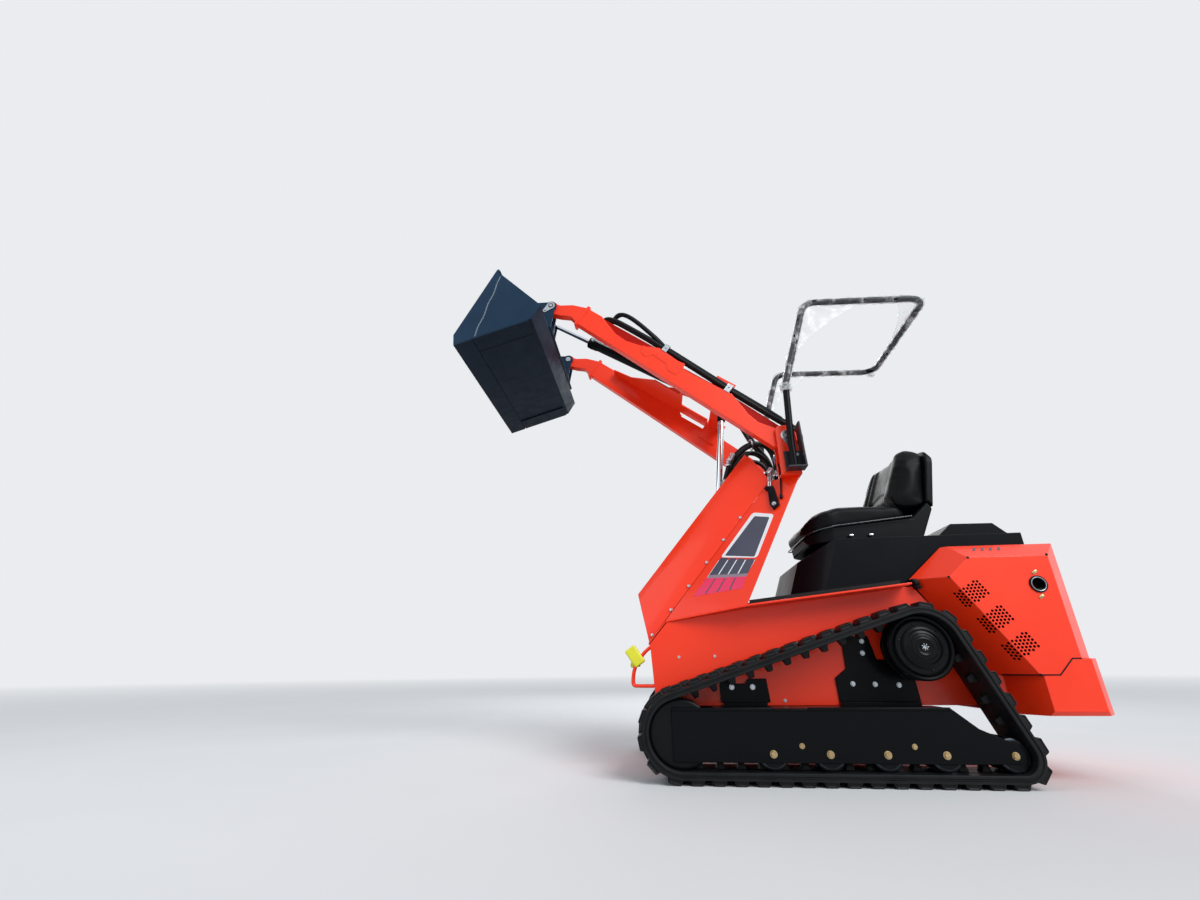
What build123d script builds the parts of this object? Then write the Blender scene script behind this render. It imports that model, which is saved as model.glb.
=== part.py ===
from build123d import *
import os
from math import acos, atan2, cos, hypot, pi, radians, sin

os.makedirs("parts", exist_ok=True)

# Frame: +X forward, +Y to the operator's left, +Z up, ground at z = 0, millimetres.

# Fits
RUN = 0.05            # radial clearance of a pin in its bore
WHEEL_GAP = 0.4       # wheel rims to the inside of the belt

# Sheet thicknesses
HULL_T = 6.0
SKIN_T = 5.0
DECK_T = 8.0
EAR_T = 12.0

# Tracks: one belt over a front idler, a high drive sprocket and a small rear idler
TRACK_Y = 410.0
TRACK_W = 180.0
LUG_H = 18.0
BELT_T = 24.0
GUIDE_H = 25.0
GUIDE_W = 40.0
IDLER = (253.0, 155.0, 113.0)
SPROCKET = (-624.0, 432.0, 113.0)
TAIL = (-828.0, 95.0, 53.0)
ROLLER_R = 53.0
ROLLER_Z = 95.0
ROLLER_X = (-57.0, -245.0, -430.0, -616.0)
AXLE_R = 12.0
WHEEL_W = 34.0        # width of each half of a wheel
HUB_R = 24.0

# Wheel discs and motor, measured from the track's middle
DISC_IN, DISC_OUT = 22.0, 38.0
COVER_STEPS = ((94.0, 8.0), (72.0, 8.0), (40.0, 10.0))

# Track frame, an upside-down channel around the wheels
FRAME_IN = TRACK_Y - 75.0
FRAME_OUT = TRACK_Y + 65.0
FRAME_TOP = 236.0
FRAME_LOW = 68.0
FRAME_FRONT = 284.0

# Hull, clear of the tracks on both sides
HULL_GAP = 10.0
HULL_Y = TRACK_Y - TRACK_W / 2 - HULL_GAP
HULL_LOW = 235.0
DECK_Y = HULL_Y + 90.0
DECK_LINE = [(-664.0, 668.0), (-35.0, 600.0), (286.0, 551.0), (360.0, 466.0)]
HULL_REAR = -960.0
HOOD_SEAM = 337.0     # joint between the rear hood and the bumper

# Front cowl: half widths of its ridge, crease and seam, and their lines from top to nose
RIDGE_Y, CREASE_Y, SEAM_Y = 130.0, 185.0, 225.0
RIDGE = ((-142.0, 1334.0), (404.0, 680.0))
CREASE = ((-174.0, 1283.0), (385.0, 596.0))
SEAM = ((-226.0, 1165.0), (360.0, 472.0))
SLOT_Y = 45.0
SLOT_FRONT = 105.0

# Tower behind the cowl
TOWER_FOOT = (-35.0, DECK_Y, 600.0)
TOWER_HEAD = (-352.0, 294.0, 1183.0)
SHELF_Z = 1160.0
SHELF_T = 8.0
EAR_OUT_Y = 297.0
EAR_IN_Y = 231.0

# Boom: pivot, slope at rest and its own u (along) and v (across) axes
PIVOT = (-308.0, 1347.0)
BOOM_TILT = radians(36.8)
ARM_IN, ARM_OUT = 249.0, 291.0
ARM_SPLIT = 272.0
ARM_LENGTH = 1398.0
PIVOT_PIN_R = 18.0
TIP_R = 38.0
BUCKET_PIN_R = 15.0

# Bucket
BUCKET_Y = 525.0
BUCKET_T = 8.0
TILT_PIN = (865.0, 2284.0)

# Cylinders: base pin, rod eye, lengths and radii
LIFT_BASE, LIFT_EYE = (76.0, 420.0), (-72.0, 1645.0)
LIFT_BARREL, LIFT_OD, LIFT_ROD_R, LIFT_ROD_L = 660.0, 35.0, 16.0, 688.0
TILT_BASE_UV = (560.0, 116.0)
LIFT_BASE_PIN_R, TILT_BASE_PIN_R = 14.0, 12.0
TILT_BARREL, TILT_OD, TILT_ROD_R, TILT_ROD_L = 674.0, 27.5, 12.0, 640.0


def boom(u, v):
    """A point of the boom's own plane in the frame of the part, as (x, z)."""
    c, s = cos(BOOM_TILT), sin(BOOM_TILT)
    return (PIVOT[0] + u * c - v * s, PIVOT[1] + u * s + v * c)


BUCKET_PIVOT = boom(ARM_LENGTH, 0)


def prism(points, y0, y1):
    """A side outline in x, z carried from y0 to y1."""
    wire = Polyline(*[(x, y0, z) for x, z in points], close=True)
    return extrude(make_face(wire), amount=y1 - y0, dir=(0, 1, 0))


def block(x0, x1, y0, y1, z0, z1):
    return Pos((x0 + x1) / 2, (y0 + y1) / 2, (z0 + z1) / 2) * Box(x1 - x0, y1 - y0, z1 - z0)


def disc(x, z, radius, y0, y1):
    """A round bar along Y."""
    bar = Cylinder(radius, y1 - y0)
    return Pos(x, (y0 + y1) / 2, z) * Rot(90, 0, 0) * bar


def bar(start, end, radius):
    """A round bar between two points."""
    a, b = Vector(*start), Vector(*end)
    plane = Plane(origin=a, z_dir=(b - a).normalized())
    return extrude(plane * Circle(radius), amount=(b - a).length)


def pipe(points, bend, radius):
    """A round bar that follows points with rounded corners."""
    path = FilletPolyline(*points, radius=bend)
    return sweep(Plane(origin=path @ 0, z_dir=path % 0) * Circle(radius), path=path)


def sheet(corners, thickness, inside):
    """A flat plate on a polygon of 3-D corners, thickened towards the inside point."""
    a, b, c = [Vector(*p) for p in corners[:3]]
    normal = (b - a).cross(c - a).normalized()
    if (Vector(*inside) - a).dot(normal) < 0:
        normal = normal * -1
    flat = [Vector(*p) - normal * (Vector(*p) - a).dot(normal) for p in corners]
    return extrude(make_face(Polyline(*flat, close=True)), amount=thickness, dir=normal)


def clip(solid, corners, inside, gap=0.0):
    """The piece of solid on the inside point's side of the plane through three corners."""
    a, b, c = [Vector(*p) for p in corners]
    normal = (b - a).cross(c - a).normalized()
    if (Vector(*inside) - a).dot(normal) > 0:
        normal = normal * -1
    plane = Plane(origin=a - normal * gap, z_dir=normal)
    return split(solid, bisect_by=plane, keep=Keep.BOTTOM)


def inset(points, gaps):
    """A closed outline moved inward by one gap per edge."""
    count = len(points)
    area = sum(points[i][0] * points[(i + 1) % count][1] - points[(i + 1) % count][0] * points[i][1]
               for i in range(count))
    side = 1 if area > 0 else -1
    lines = []
    for i, gap in enumerate(gaps):
        (x0, z0), (x1, z1) = points[i], points[(i + 1) % count]
        length = hypot(x1 - x0, z1 - z0)
        dx, dz = (x1 - x0) / length, (z1 - z0) / length
        lines.append((x0 - side * dz * gap, z0 + side * dx * gap, dx, dz))
    result = []
    for i in range(count):
        x0, z0, a, b = lines[i - 1]
        x1, z1, c, d = lines[i]
        step = ((x1 - x0) * d - (z1 - z0) * c) / (a * d - b * c)
        result.append((x0 + a * step, z0 + b * step))
    return result


def other_side(solid):
    return mirror(solid, about=Plane.XZ)


def both(solids):
    """The pieces of the left side and their mirror images."""
    return list(solids) + [other_side(s) for s in solids]


def save(name, shapes):
    solids = [solid for shape in shapes for solid in shape.solids()]
    export_step(Compound(children=solids), "parts/" + name + ".step")


def loop(grow):
    """The outline of the belt around its three wheels, grown outward."""
    wheels = [(x, z, r + grow) for x, z, r in (IDLER, SPROCKET, TAIL)]
    tangents = []
    for i in range(3):
        (x0, z0, r0), (x1, z1, r1) = wheels[i], wheels[(i + 1) % 3]
        span = hypot(x1 - x0, z1 - z0)
        out = atan2(z1 - z0, x1 - x0) - acos((r0 - r1) / span)
        leave = (x0 + r0 * cos(out), z0 + r0 * sin(out))
        meet = (x1 + r1 * cos(out), z1 + r1 * sin(out))
        tangents.append((leave, meet, out))
    edges = []
    for i in range(3):
        leave, meet, out = tangents[i]
        after, next_out = tangents[(i + 1) % 3][0], tangents[(i + 1) % 3][2]
        x, z, r = wheels[(i + 1) % 3]
        turn = (next_out - out) % (2 * pi)
        middle = (x + r * cos(out + turn / 2), z + r * sin(out + turn / 2))
        edges.append(Line((leave[0], 0, leave[1]), (meet[0], 0, meet[1])))
        edges.append(ThreePointArc((meet[0], 0, meet[1]), (middle[0], 0, middle[1]),
                                   (after[0], 0, after[1])))
    return make_face(Wire(edges))


def belt():
    """One rubber track, plain, out to the tips of its lugs."""
    outer = extrude(loop(BELT_T + LUG_H), amount=TRACK_W, dir=(0, 1, 0))
    inner = extrude(loop(0), amount=TRACK_W, dir=(0, 1, 0))
    return Pos(0, TRACK_Y - TRACK_W / 2, 0) * (outer - inner)


def wheel(x, z, radius, hub):
    """A wheel of two halves with a groove for the belt's guides, on its axle."""
    inner, outer = TRACK_Y - GUIDE_W / 2 - 3, TRACK_Y + GUIDE_W / 2 + 3
    shape = disc(x, z, radius, inner - WHEEL_W, inner)
    shape += disc(x, z, radius, outer, outer + WHEEL_W)
    shape += disc(x, z, hub, inner - WHEEL_W, outer + WHEEL_W)
    return shape + disc(x, z, AXLE_R, FRAME_IN + HULL_T, FRAME_OUT - HULL_T)


def track_frame():
    side = [(FRAME_FRONT, FRAME_LOW), (FRAME_FRONT, FRAME_TOP), (-662, FRAME_TOP), (-738, 173),
            (-850, 125), (-862, 95), (-850, 72), (-700, FRAME_LOW)]
    shape = prism(side, FRAME_IN, FRAME_IN + HULL_T)
    shape += prism(side, FRAME_OUT - HULL_T, FRAME_OUT)
    shape += block(-662, FRAME_FRONT, FRAME_IN, FRAME_OUT, FRAME_TOP - HULL_T, FRAME_TOP)
    wheel_w = GUIDE_W / 2 + 3 + WHEEL_W + 5
    shape -= block(135, 400, TRACK_Y - wheel_w, TRACK_Y + wheel_w, 200, 300)
    return shape


def sprocket():
    x, z, r = SPROCKET
    shape = disc(x, z, r - WHEEL_GAP, TRACK_Y + DISC_IN, TRACK_Y + DISC_OUT)
    shape += disc(x, z, r - WHEEL_GAP, TRACK_Y - DISC_OUT, TRACK_Y - DISC_IN)
    shape += disc(x, z, r - GUIDE_H - 3, TRACK_Y - DISC_OUT, TRACK_Y + DISC_OUT)
    y = TRACK_Y + DISC_OUT
    for radius, step in COVER_STEPS:
        shape += disc(x, z, radius, y, y + step)
        y += step
    return shape


def deck_band(depth):
    """The strip below the deck line, depth thick."""
    lower = [(x, z - depth) for x, z in DECK_LINE]
    return DECK_LINE + lower[::-1]


def hull():
    """The open tub: two sides, a floor and a nose plate."""
    outline = [(HULL_REAR, HULL_LOW), (HULL_REAR, HOOD_SEAM), (-925, HOOD_SEAM), (-700, 664)]
    outline += [(x, z - DECK_T) for x, z in DECK_LINE[:2]]
    outline += [(282, 551 - DECK_T), (354, 461), (343, 291), (338, HULL_LOW)]
    floor = HULL_LOW + HULL_T
    inner = [(-1100, floor), (338 - HULL_T, floor), (343 - HULL_T, 291), (354 - HULL_T, 461),
             (354 - HULL_T, 900), (-1100, 900)]
    wide, narrow = HULL_Y, HULL_Y - HULL_T
    return prism(outline, -wide, wide) - prism(inner, -narrow, narrow)


def deck():
    shape = prism(deck_band(DECK_T), -DECK_Y, DECK_Y)
    plan = [(-664, DECK_Y), (-35, DECK_Y), (286, HULL_Y), (370, HULL_Y)]
    plan += [(x, -y) for x, y in plan[::-1]]
    wire = Polyline(*[(x, y, 400) for x, y in plan], close=True)
    shape = shape & extrude(make_face(wire), amount=400, dir=(0, 0, 1))
    return shape - block(-20, 340, -200, 200, 400, 700)


def cowl():
    (x0, z0), (x1, z1) = RIDGE
    inside = (100.0, 0.0, 850.0)
    ridge = [(x0, -RIDGE_Y, z0), (x0, RIDGE_Y, z0), (x1, RIDGE_Y, z1)]
    nose = [(x1, -10, z1), (x1, 10, z1), (SEAM[1][0], 10, SEAM[1][1])]
    head = [(x0, -10, z0), (x0, 10, z0), (SEAM[0][0], 10, SEAM[0][1])]
    back = [(SEAM[0][0], -10, SEAM[0][1]), (SEAM[0][0], 10, SEAM[0][1]), (SEAM[1][0], 10, SEAM[1][1])]

    def body(gap, open_by):
        shape = block(-400, 500, -SEAM_Y - 40, SEAM_Y + 40, 300, 1450)
        shape = clip(shape, ridge, inside, gap)
        shape = clip(shape, nose, inside, gap)
        shape = clip(shape, head, inside, -open_by)
        shape = clip(shape, back, inside, -open_by)
        for s in (1, -1):
            upper = [(x0, s * RIDGE_Y, z0), (x1, s * RIDGE_Y, z1), (CREASE[0][0], s * CREASE_Y, CREASE[0][1])]
            lower = [(CREASE[0][0], s * CREASE_Y, CREASE[0][1]), (CREASE[1][0], s * CREASE_Y, CREASE[1][1]),
                     (SEAM[0][0], s * SEAM_Y, SEAM[0][1])]
            shape = clip(shape, upper, inside, gap)
            shape = clip(shape, lower, inside, gap)
        return shape

    shape = body(0, 0) - body(SKIN_T, 60)
    return shape - block(-300, SLOT_FRONT, -SLOT_Y, SLOT_Y, 900, 1450)


PANEL_FRONT = (292.8, SEAM_Y, 550.0)


def tower_panel():
    """The left side panel, from the cowl's seam back to the tower's rear edge."""
    (x0, z0), (x1, z1) = SEAM
    corners = [(x0, SEAM_Y, z0), PANEL_FRONT, TOWER_FOOT, TOWER_HEAD]
    plate = sheet(corners, SKIN_T, (-100, 0, 800))
    back = [(x0, -10, z0), (x0, 10, z0), (x1, 10, z1)]
    plate = clip(plate, back, (-300, 0, 600))
    plate = clip(plate, [(0, 0, SHELF_Z), (1, 0, SHELF_Z), (0, 1, SHELF_Z)], (0, 0, 0))
    floor = [(DECK_LINE[1][0], 0, DECK_LINE[1][1]), (DECK_LINE[1][0], 1, DECK_LINE[1][1]),
             (DECK_LINE[2][0], 0, DECK_LINE[2][1])]
    return clip(plate, floor, (0, 0, 2000))


def dash():
    foot, head = TOWER_FOOT, TOWER_HEAD
    corners = [foot, head, (head[0], -head[1], head[2]), (foot[0], -foot[1], foot[2])]
    plate = sheet(corners, SKIN_T, (-100, 0, 800))
    for s in (1, -1):
        side = [(x, s * y, z) for x, y, z in ((SEAM[0][0], SEAM_Y, SEAM[0][1]), PANEL_FRONT, foot)]
        plate = clip(plate, side, (-100, 0, 800), SKIN_T)
    plate = clip(plate, [(0, 0, SHELF_Z), (1, 0, SHELF_Z), (0, 1, SHELF_Z)], (0, 0, 0))
    floor = [(DECK_LINE[1][0], 0, DECK_LINE[1][1]), (DECK_LINE[1][0], 1, DECK_LINE[1][1]),
             (DECK_LINE[2][0], 0, DECK_LINE[2][1])]
    return clip(plate, floor, (0, 0, 2000))


EAR = [(-262, SHELF_Z + SHELF_T), (-262, 1385), (-275, 1400), (-325, 1400), (-345, 1380),
       (-352, 1300), (-352, SHELF_Z + SHELF_T)]


def tower_ears():
    ears = prism(EAR, EAR_OUT_Y, EAR_OUT_Y + EAR_T)
    ears += prism(EAR, EAR_IN_Y, EAR_IN_Y + EAR_T)
    ears -= disc(*PIVOT, PIVOT_PIN_R, EAR_IN_Y - 10, EAR_OUT_Y + EAR_T + 10)
    shelf_y = EAR_OUT_Y + EAR_T
    shelf = block(-352, -262, -shelf_y, shelf_y, SHELF_Z, SHELF_Z + SHELF_T)
    return ears + other_side(ears) + shelf


def pivot_pin():
    pin = disc(*PIVOT, PIVOT_PIN_R, EAR_IN_Y - 6, EAR_OUT_Y + EAR_T + 6)
    keeper_z = 1302.0
    plate = disc(*PIVOT, 26, EAR_OUT_Y + EAR_T, EAR_OUT_Y + EAR_T + 5)
    plate += disc(PIVOT[0] - 8, keeper_z, 13, EAR_OUT_Y + EAR_T, EAR_OUT_Y + EAR_T + 5)
    plate += prism([(PIVOT[0] - 25, PIVOT[1] - 6), (PIVOT[0] + 25, PIVOT[1] - 6),
                    (PIVOT[0] + 5, keeper_z), (PIVOT[0] - 21, keeper_z)],
                   EAR_OUT_Y + EAR_T, EAR_OUT_Y + EAR_T + 5)
    return pin + plate


HOOP_Y = 350.0
HOOP_R = 15.0
HOOP = [(-313, 1182), (-313, 1290), (-329, 1590), (-477, 2040), (-1045, 2013)]


def hoop():
    left = [(x, HOOP_Y, z) for x, z in HOOP]
    right = [(x, -HOOP_Y, z) for x, z in HOOP[::-1]]
    return pipe(left + right, 75, HOOP_R)


def hoop_bracket():
    y = EAR_OUT_Y + EAR_T
    shape = block(-355, -283, y, y + 8, 1174, 1268)
    shape += prism([(-363, 1174), (-355, 1174), (-350, 1389), (-358, 1389)], y, HOOP_Y + 22)
    shape += block(-355, -283, y, HOOP_Y + 22, 1174, 1182)
    return shape


COVER_Y = 300.0
COVER_TOP = 868.0


def cover(gap):
    """The black cover under the seat as a convex body, moved in by gap."""
    inside = (-700.0, 0.0, 760.0)
    shape = block(-1168, -200, -COVER_Y + gap, COVER_Y - gap, 600, COVER_TOP - gap)
    planes = [
        [(-254, 0, 664), (-300, 0, 790), (-254, 10, 664)],
        [(-300, 0, 790), (-440, 0, COVER_TOP), (-300, 10, 790)],
    ]
    for s in (1, -1):
        planes.append([(-372, s * 300, 669), (-451, s * 300, 865), (-254, s * 200, 664)])
    for corners in planes:
        shape = clip(shape, corners, inside, gap)
    return shape


def engine_cover():
    deck_top = [(-664, 0, 668), (-35, 0, 600), (-664, 10, 668)]
    shape = clip(cover(0), deck_top, (-400, 0, 2000)) - cover(SKIN_T)
    hump = [(-860, COVER_TOP), (-920, 918), (-1083, 916), (-1134, COVER_TOP)]
    return shape + prism(hump, -COVER_Y + 20, COVER_Y - 20)


HOOD_Y = 420.0
HOOD_IN = 330.0
HOOD_TOP = 814.0
HOOD_REAR = -1245.0

A, F, K, R = (-710, 330, 688), (-794, 420, 683), (-876, 420, 753), (-1159, 420, 752)
B, G = (-861, 330, 815), (-1010, 420, 337)


def hood_body(gap, low):
    inside = (-1050.0, 0.0, 600.0)
    shape = block(HOOD_REAR + gap, -650, -HOOD_Y + gap, HOOD_Y - gap, low, HOOD_TOP - gap)
    for s in (1, -1):
        flip = [tuple((x, s * y, z)) for x, y, z in (A, F, K, R, B, G)]
        a, f, k, r, b, g = flip
        corner = [(-1159, s * 420, 700), (HOOD_REAR, s * 330, 700), (-1159, s * 420, 500)]
        for corners in ([a, f, k], [f, g, a], [k, r, (b[0], b[1], HOOD_TOP)], corner):
            shape = clip(shape, corners, inside, gap)
    return shape


def rear_hood():
    shape = hood_body(0, HOOD_SEAM) - hood_body(SKIN_T, HOOD_SEAM - 50)
    shape -= block(-1190, -600, -HULL_Y, HULL_Y, 300, 900)
    step = [(-1074, 300), (-1074, HOOD_SEAM), (-1129, 390), (-1300, 390), (-1300, 300)]
    shape -= prism(step, -500, 500)
    return shape - disc(-1095, 647, 27, 400, 440)


def rear_bumper():
    low = 207.0

    def body(gap, bottom, top):
        inside = (-1100.0, 0.0, 300.0)
        shape = block(HOOD_REAR + gap, -940, -HOOD_Y + gap, HOOD_Y - gap, bottom, top)
        for s in (1, -1):
            front = [(-1020, s * 420, 200), (-945, s * HULL_Y, 200), (-1020, s * 420, 300)]
            corner = [(-1190, s * 420, 200), (HOOD_REAR, s * 360, 200), (-1190, s * 420, 300)]
            under = [(-1100, s * 420, low + 14), (-1100, s * 406, low), (-1000, s * 420, low + 14)]
            for corners in (front, corner, under):
                shape = clip(shape, corners, inside, gap)
        return shape

    shape = body(0, low, 390) - body(SKIN_T, low + SKIN_T, 450)
    step = [(-900, HOOD_SEAM), (-1074, HOOD_SEAM), (-1129, 390), (-1140, 420), (-900, 420)]
    shape -= prism(step, -500, 500)
    return shape - block(HULL_REAR - 4, -900, -HULL_Y, HULL_Y, 200, 400)


# The seat: side outlines of its base, cushion and backrest
SEAT_Y = 240.0
SEAT_BASE = [(-372, COVER_TOP), (-356, 905), (-436, 930), (-802, 965), (-880, 1035), (-896, 1004),
             (-839, 891), (-826, COVER_TOP)]
SEAT_CUSHION = [(-356, 906), (-330, 918), (-338, 955), (-400, 995), (-519, 1022), (-740, 1015),
                (-800, 1005), (-802, 966), (-436, 931)]
SEAT_BACK = [(-745, 1018), (-735, 1050), (-850, 1285), (-880, 1297), (-935, 1262), (-947, 1235),
             (-898, 1010), (-880, 1036), (-858, 1016), (-802, 1008)]

# The boom's arms, as (u, v) outlines of the inner and the outer half
ARM_LOW = [(-20, -48), (21, -70), (1213, -8), (1275, 9), (1324, -14), (1385, -34)]
ARM_NOSE = [(1385, 34), (1365, 38), (1308, 75), (1229, 100)]
ARM_TOP_OUT = [(1129, 98), (1068, 74), (1001, 48), (927, 41), (855, 56), (837, 61), (759, 96),
               (610, 78), (586, 57), (546, 55), (406, 59), (318, 63), (200, 13), (139, 1),
               (62, 16), (-10, 50)]
ARM_TOP_IN = [(1129, 98), (759, 96), (610, 78), (586, 57), (406, 59), (318, 63), (40, 45), (-10, 50)]
DOUBLER = [(326, 1901), (340, 1864), (320, 1832), (278, 1839), (215, 1780), (209, 1741),
           (170, 1714), (135, 1744), (121, 1772)]


def arm():
    shape = prism([boom(*p) for p in ARM_LOW + ARM_NOSE + ARM_TOP_IN], ARM_IN, ARM_SPLIT)
    shape += prism([boom(*p) for p in ARM_LOW + ARM_NOSE + ARM_TOP_OUT], ARM_SPLIT, ARM_OUT)
    shape += disc(*PIVOT, 52, ARM_IN, ARM_OUT)
    shape += disc(*boom(ARM_LENGTH, 0), TIP_R, ARM_IN, ARM_OUT)
    shape += prism([boom(*p) for p in ((1213, -22), (1229, -18), (1229, 110), (1213, 112))],
                   ARM_IN - 6, ARM_OUT + 6)
    shape += prism(DOUBLER, ARM_OUT, ARM_OUT + 3)
    shape -= disc(*PIVOT, PIVOT_PIN_R + RUN, ARM_IN - 1, ARM_OUT + 1)
    shape -= disc(*boom(ARM_LENGTH, 0), BUCKET_PIN_R + RUN, ARM_IN - 1, ARM_OUT + 1)
    return shape


PLATE_V, PLATE_T = 75.0, 8.0
BAR_V = 97.0


def cross_plate():
    """The plate between the arms with its notch, the lift bar and both sets of lugs."""
    plan = [(1090, ARM_IN), (1090, 200), (960, 170), (800, 50), (790, 50)]
    plan += [(u, -y) for u, y in plan[::-1]]
    plan += [(430, -ARM_IN), (430, -150), (600, -150), (600, 150), (430, 150), (430, ARM_IN)]
    c, s = cos(BOOM_TILT), sin(BOOM_TILT)
    low = [(boom(u, PLATE_V)[0], y, boom(u, PLATE_V)[1]) for u, y in plan]
    shape = extrude(make_face(Polyline(*low, close=True)), amount=PLATE_T, dir=(-s, 0, c))
    slot = ((615, 60), (830, 60), (830, 95), (615, 95))
    shape -= prism([boom(*p) for p in slot], -TILT_OD - 9, TILT_OD + 9)
    lug_uv = [(330, 97), (345, 70), (390, 70), (405, 97), (405, 137), (345, 137)]
    for y0, y1 in ((21, 33), (-33, -21)):
        shape += prism([boom(*p) for p in lug_uv], y0, y1)
    for y0, y1 in ((33, 241), (-241, -33)):
        shape += prism([boom(*p) for p in ((345, BAR_V), (430, BAR_V), (430, 137), (345, 137))], y0, y1)
    for y0, y1 in ((241, ARM_IN), (-ARM_IN, -241)):
        shape += prism([boom(*p) for p in ((335, 0), (440, 0), (440, 137), (335, 137))], y0, y1)
    tilt_uv = [(535, 116), (545, 140), (575, 140), (600, 118), (690, 83), (600, 83), (560, 90)]
    for y0, y1 in ((30, 42), (-42, -30)):
        shape += prism([boom(*p) for p in tilt_uv], y0, y1)
    return shape + disc(*boom(*TILT_BASE_UV), TILT_BASE_PIN_R, -46, 46)


def bucket_shell():
    profile = [(1052, 2262), (812, 2022), (857, 1946), (1240, 1830), (1245, 1886)]
    inner = inset(profile, [BUCKET_T, BUCKET_T, BUCKET_T, -60, -60])
    shape = prism(profile, -BUCKET_Y, BUCKET_Y)
    return shape - prism(inner, -BUCKET_Y + BUCKET_T, BUCKET_Y - BUCKET_T)


EAR_GAP = 5.0
EAR_W = 10.0


def bucket_hitch():
    """The plate on the bucket's back with the ears for the arms and the tilt cylinder."""
    x, z = BUCKET_PIVOT
    plate = [(812, 2022), (1034, 2244), (1024, 2254), (802, 2032)]
    shape = prism(plate, -340, 340)
    ear = [(x - 20, z - 22), (812, 2040), (990, 2216), (x + 10, z + 26)]
    for y0 in (ARM_IN - EAR_GAP - EAR_W, ARM_OUT + EAR_GAP):
        for s in (1, -1):
            a, b = sorted((s * y0, s * (y0 + EAR_W)))
            ears = prism(ear, a, b) + disc(x, z, 30, a, b)
            shape += ears - disc(x, z, BUCKET_PIN_R, a - 1, b + 1)
    lug = [(TILT_PIN[0] - 24, TILT_PIN[1] - 8), (TILT_PIN[0] - 8, TILT_PIN[1] + 24),
           (1010, 2240), (870, 2100)]
    for y0, y1 in ((18, 28), (-28, -18)):
        shape += prism(lug, y0, y1)
    return shape


def bucket_pin():
    x, z = BUCKET_PIVOT
    inner = ARM_IN - EAR_GAP - EAR_W - 4
    outer = ARM_OUT + EAR_GAP + EAR_W
    shape = disc(x, z, BUCKET_PIN_R, inner, outer + 5)
    shape += disc(x, z, 22, outer, outer + 5)
    shape += disc(843, 2155, 11, outer, outer + 5)
    return shape + prism([(x - 16, z - 15), (x + 16, z + 15), (851, 2162), (835, 2148)], outer, outer + 5)


def along(a, b, reach, across=0.0):
    """The point reach along the line from a to b and across from it."""
    span = hypot(b[0] - a[0], b[1] - a[1])
    dx, dz = (b[0] - a[0]) / span, (b[1] - a[1]) / span
    return (a[0] + dx * reach - dz * across, a[1] + dz * reach + dx * across)


def at_y(point, y=0.0):
    return (point[0], y, point[1])


def barrel(base, eye, length, outer_r, rod_r, half_eye, pin_r):
    """A cylinder barrel with its base eye; its bore stays open for the rod."""
    shape = bar(at_y(along(base, eye, 28)), at_y(along(base, eye, length)), outer_r)
    shape += bar(at_y(along(base, eye, length - 55)), at_y(along(base, eye, length)), outer_r + 4)
    shape += disc(*base, 30, -half_eye, half_eye)
    shape -= bar(at_y(along(base, eye, 45)), at_y(along(base, eye, length - 40)), rod_r + 6)
    shape -= bar(at_y(along(base, eye, length - 60)), at_y(along(base, eye, length + 5)), rod_r + RUN)
    return shape - disc(*base, pin_r + RUN, -half_eye - 1, half_eye + 1)


def piston_rod(base, eye, length, rod_r, half_eye, eye_r):
    span = hypot(eye[0] - base[0], eye[1] - base[1])
    shape = bar(at_y(along(base, eye, span - length)), at_y(along(base, eye, span - eye_r / 2)), rod_r)
    return shape + disc(*eye, eye_r, -half_eye, half_eye)


HOSE_R = 6.5
HOSE_LAYERS = (((256.5, 270.0, 283.5), 0.0), ((263.0, 277.0), 13.0))
HOSE_RUN = ((60, 66), (318, 78), (759, 111))
CLAMP_ON_ARM = {349: (62.3, 61.1), 730: (90.9, 94.3)}


def hoses(radius):
    """Hydraulic hoses laid along the top of the left arm, in two layers."""
    result = []
    for ys, lift in HOSE_LAYERS:
        for y in ys:
            end = 1030 - 4 * lift
            points = [at_y(boom(u, v + lift), y) for u, v in HOSE_RUN]
            points += [at_y(boom(end, 112 + lift), y), at_y(boom(end + 90, 112 + lift), y - 90),
                       at_y(boom(end + 60, 106), y - 190)]
            result.append(pipe(points, 35, radius))
    return result


def hose_clamps():
    """Straps over the hoses, each with a pad on the arm below them."""
    (u0, v0), (u1, v1) = HOSE_RUN[1:]
    slope = (v1 - v0) / (u1 - u0)
    result = []
    for u, (a, b) in CLAMP_ON_ARM.items():
        low, high = [v0 + slope * (u + du - u0) for du in (-14, 14)]
        pad = [(u - 14, a), (u + 14, b), (u + 14, high - HOSE_R - 0.1), (u - 14, low - HOSE_R - 0.1)]
        shape = prism([boom(*p) for p in pad], 256, 285)
        top = HOSE_LAYERS[1][1] + high + HOSE_R + 0.1
        strap = [boom(u - 14, top), boom(u + 14, top), boom(u + 14, top + 3), boom(u - 14, top + 3)]
        side = [boom(u - 14, a - 2), boom(u + 14, b - 2), boom(u + 14, top), boom(u - 14, top)]
        cover = prism(strap, ARM_IN, ARM_OUT + 3) + prism(side, ARM_OUT, ARM_OUT + 3)
        if u > 500:
            cover += prism(strap, ARM_IN - 3, ARM_IN) + prism(side, ARM_IN - 3, ARM_IN)
        result += [shape, cover]
    return result


MOUNT_FRONT = [(91, 247), (91, 329), (46, 329), (32, 312), (-4, 312), (-18, 329), (-88, 329), (-95, 247)]
MOUNT_REAR = [(-349, 247), (-345, 330), (-395, 366), (-440, 393), (-560, 393), (-631, 330), (-637, 247)]
MOUNT_MOTOR = [(-390, 340), (-390, 478), (-490, 478), (-520, 340)]


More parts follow.
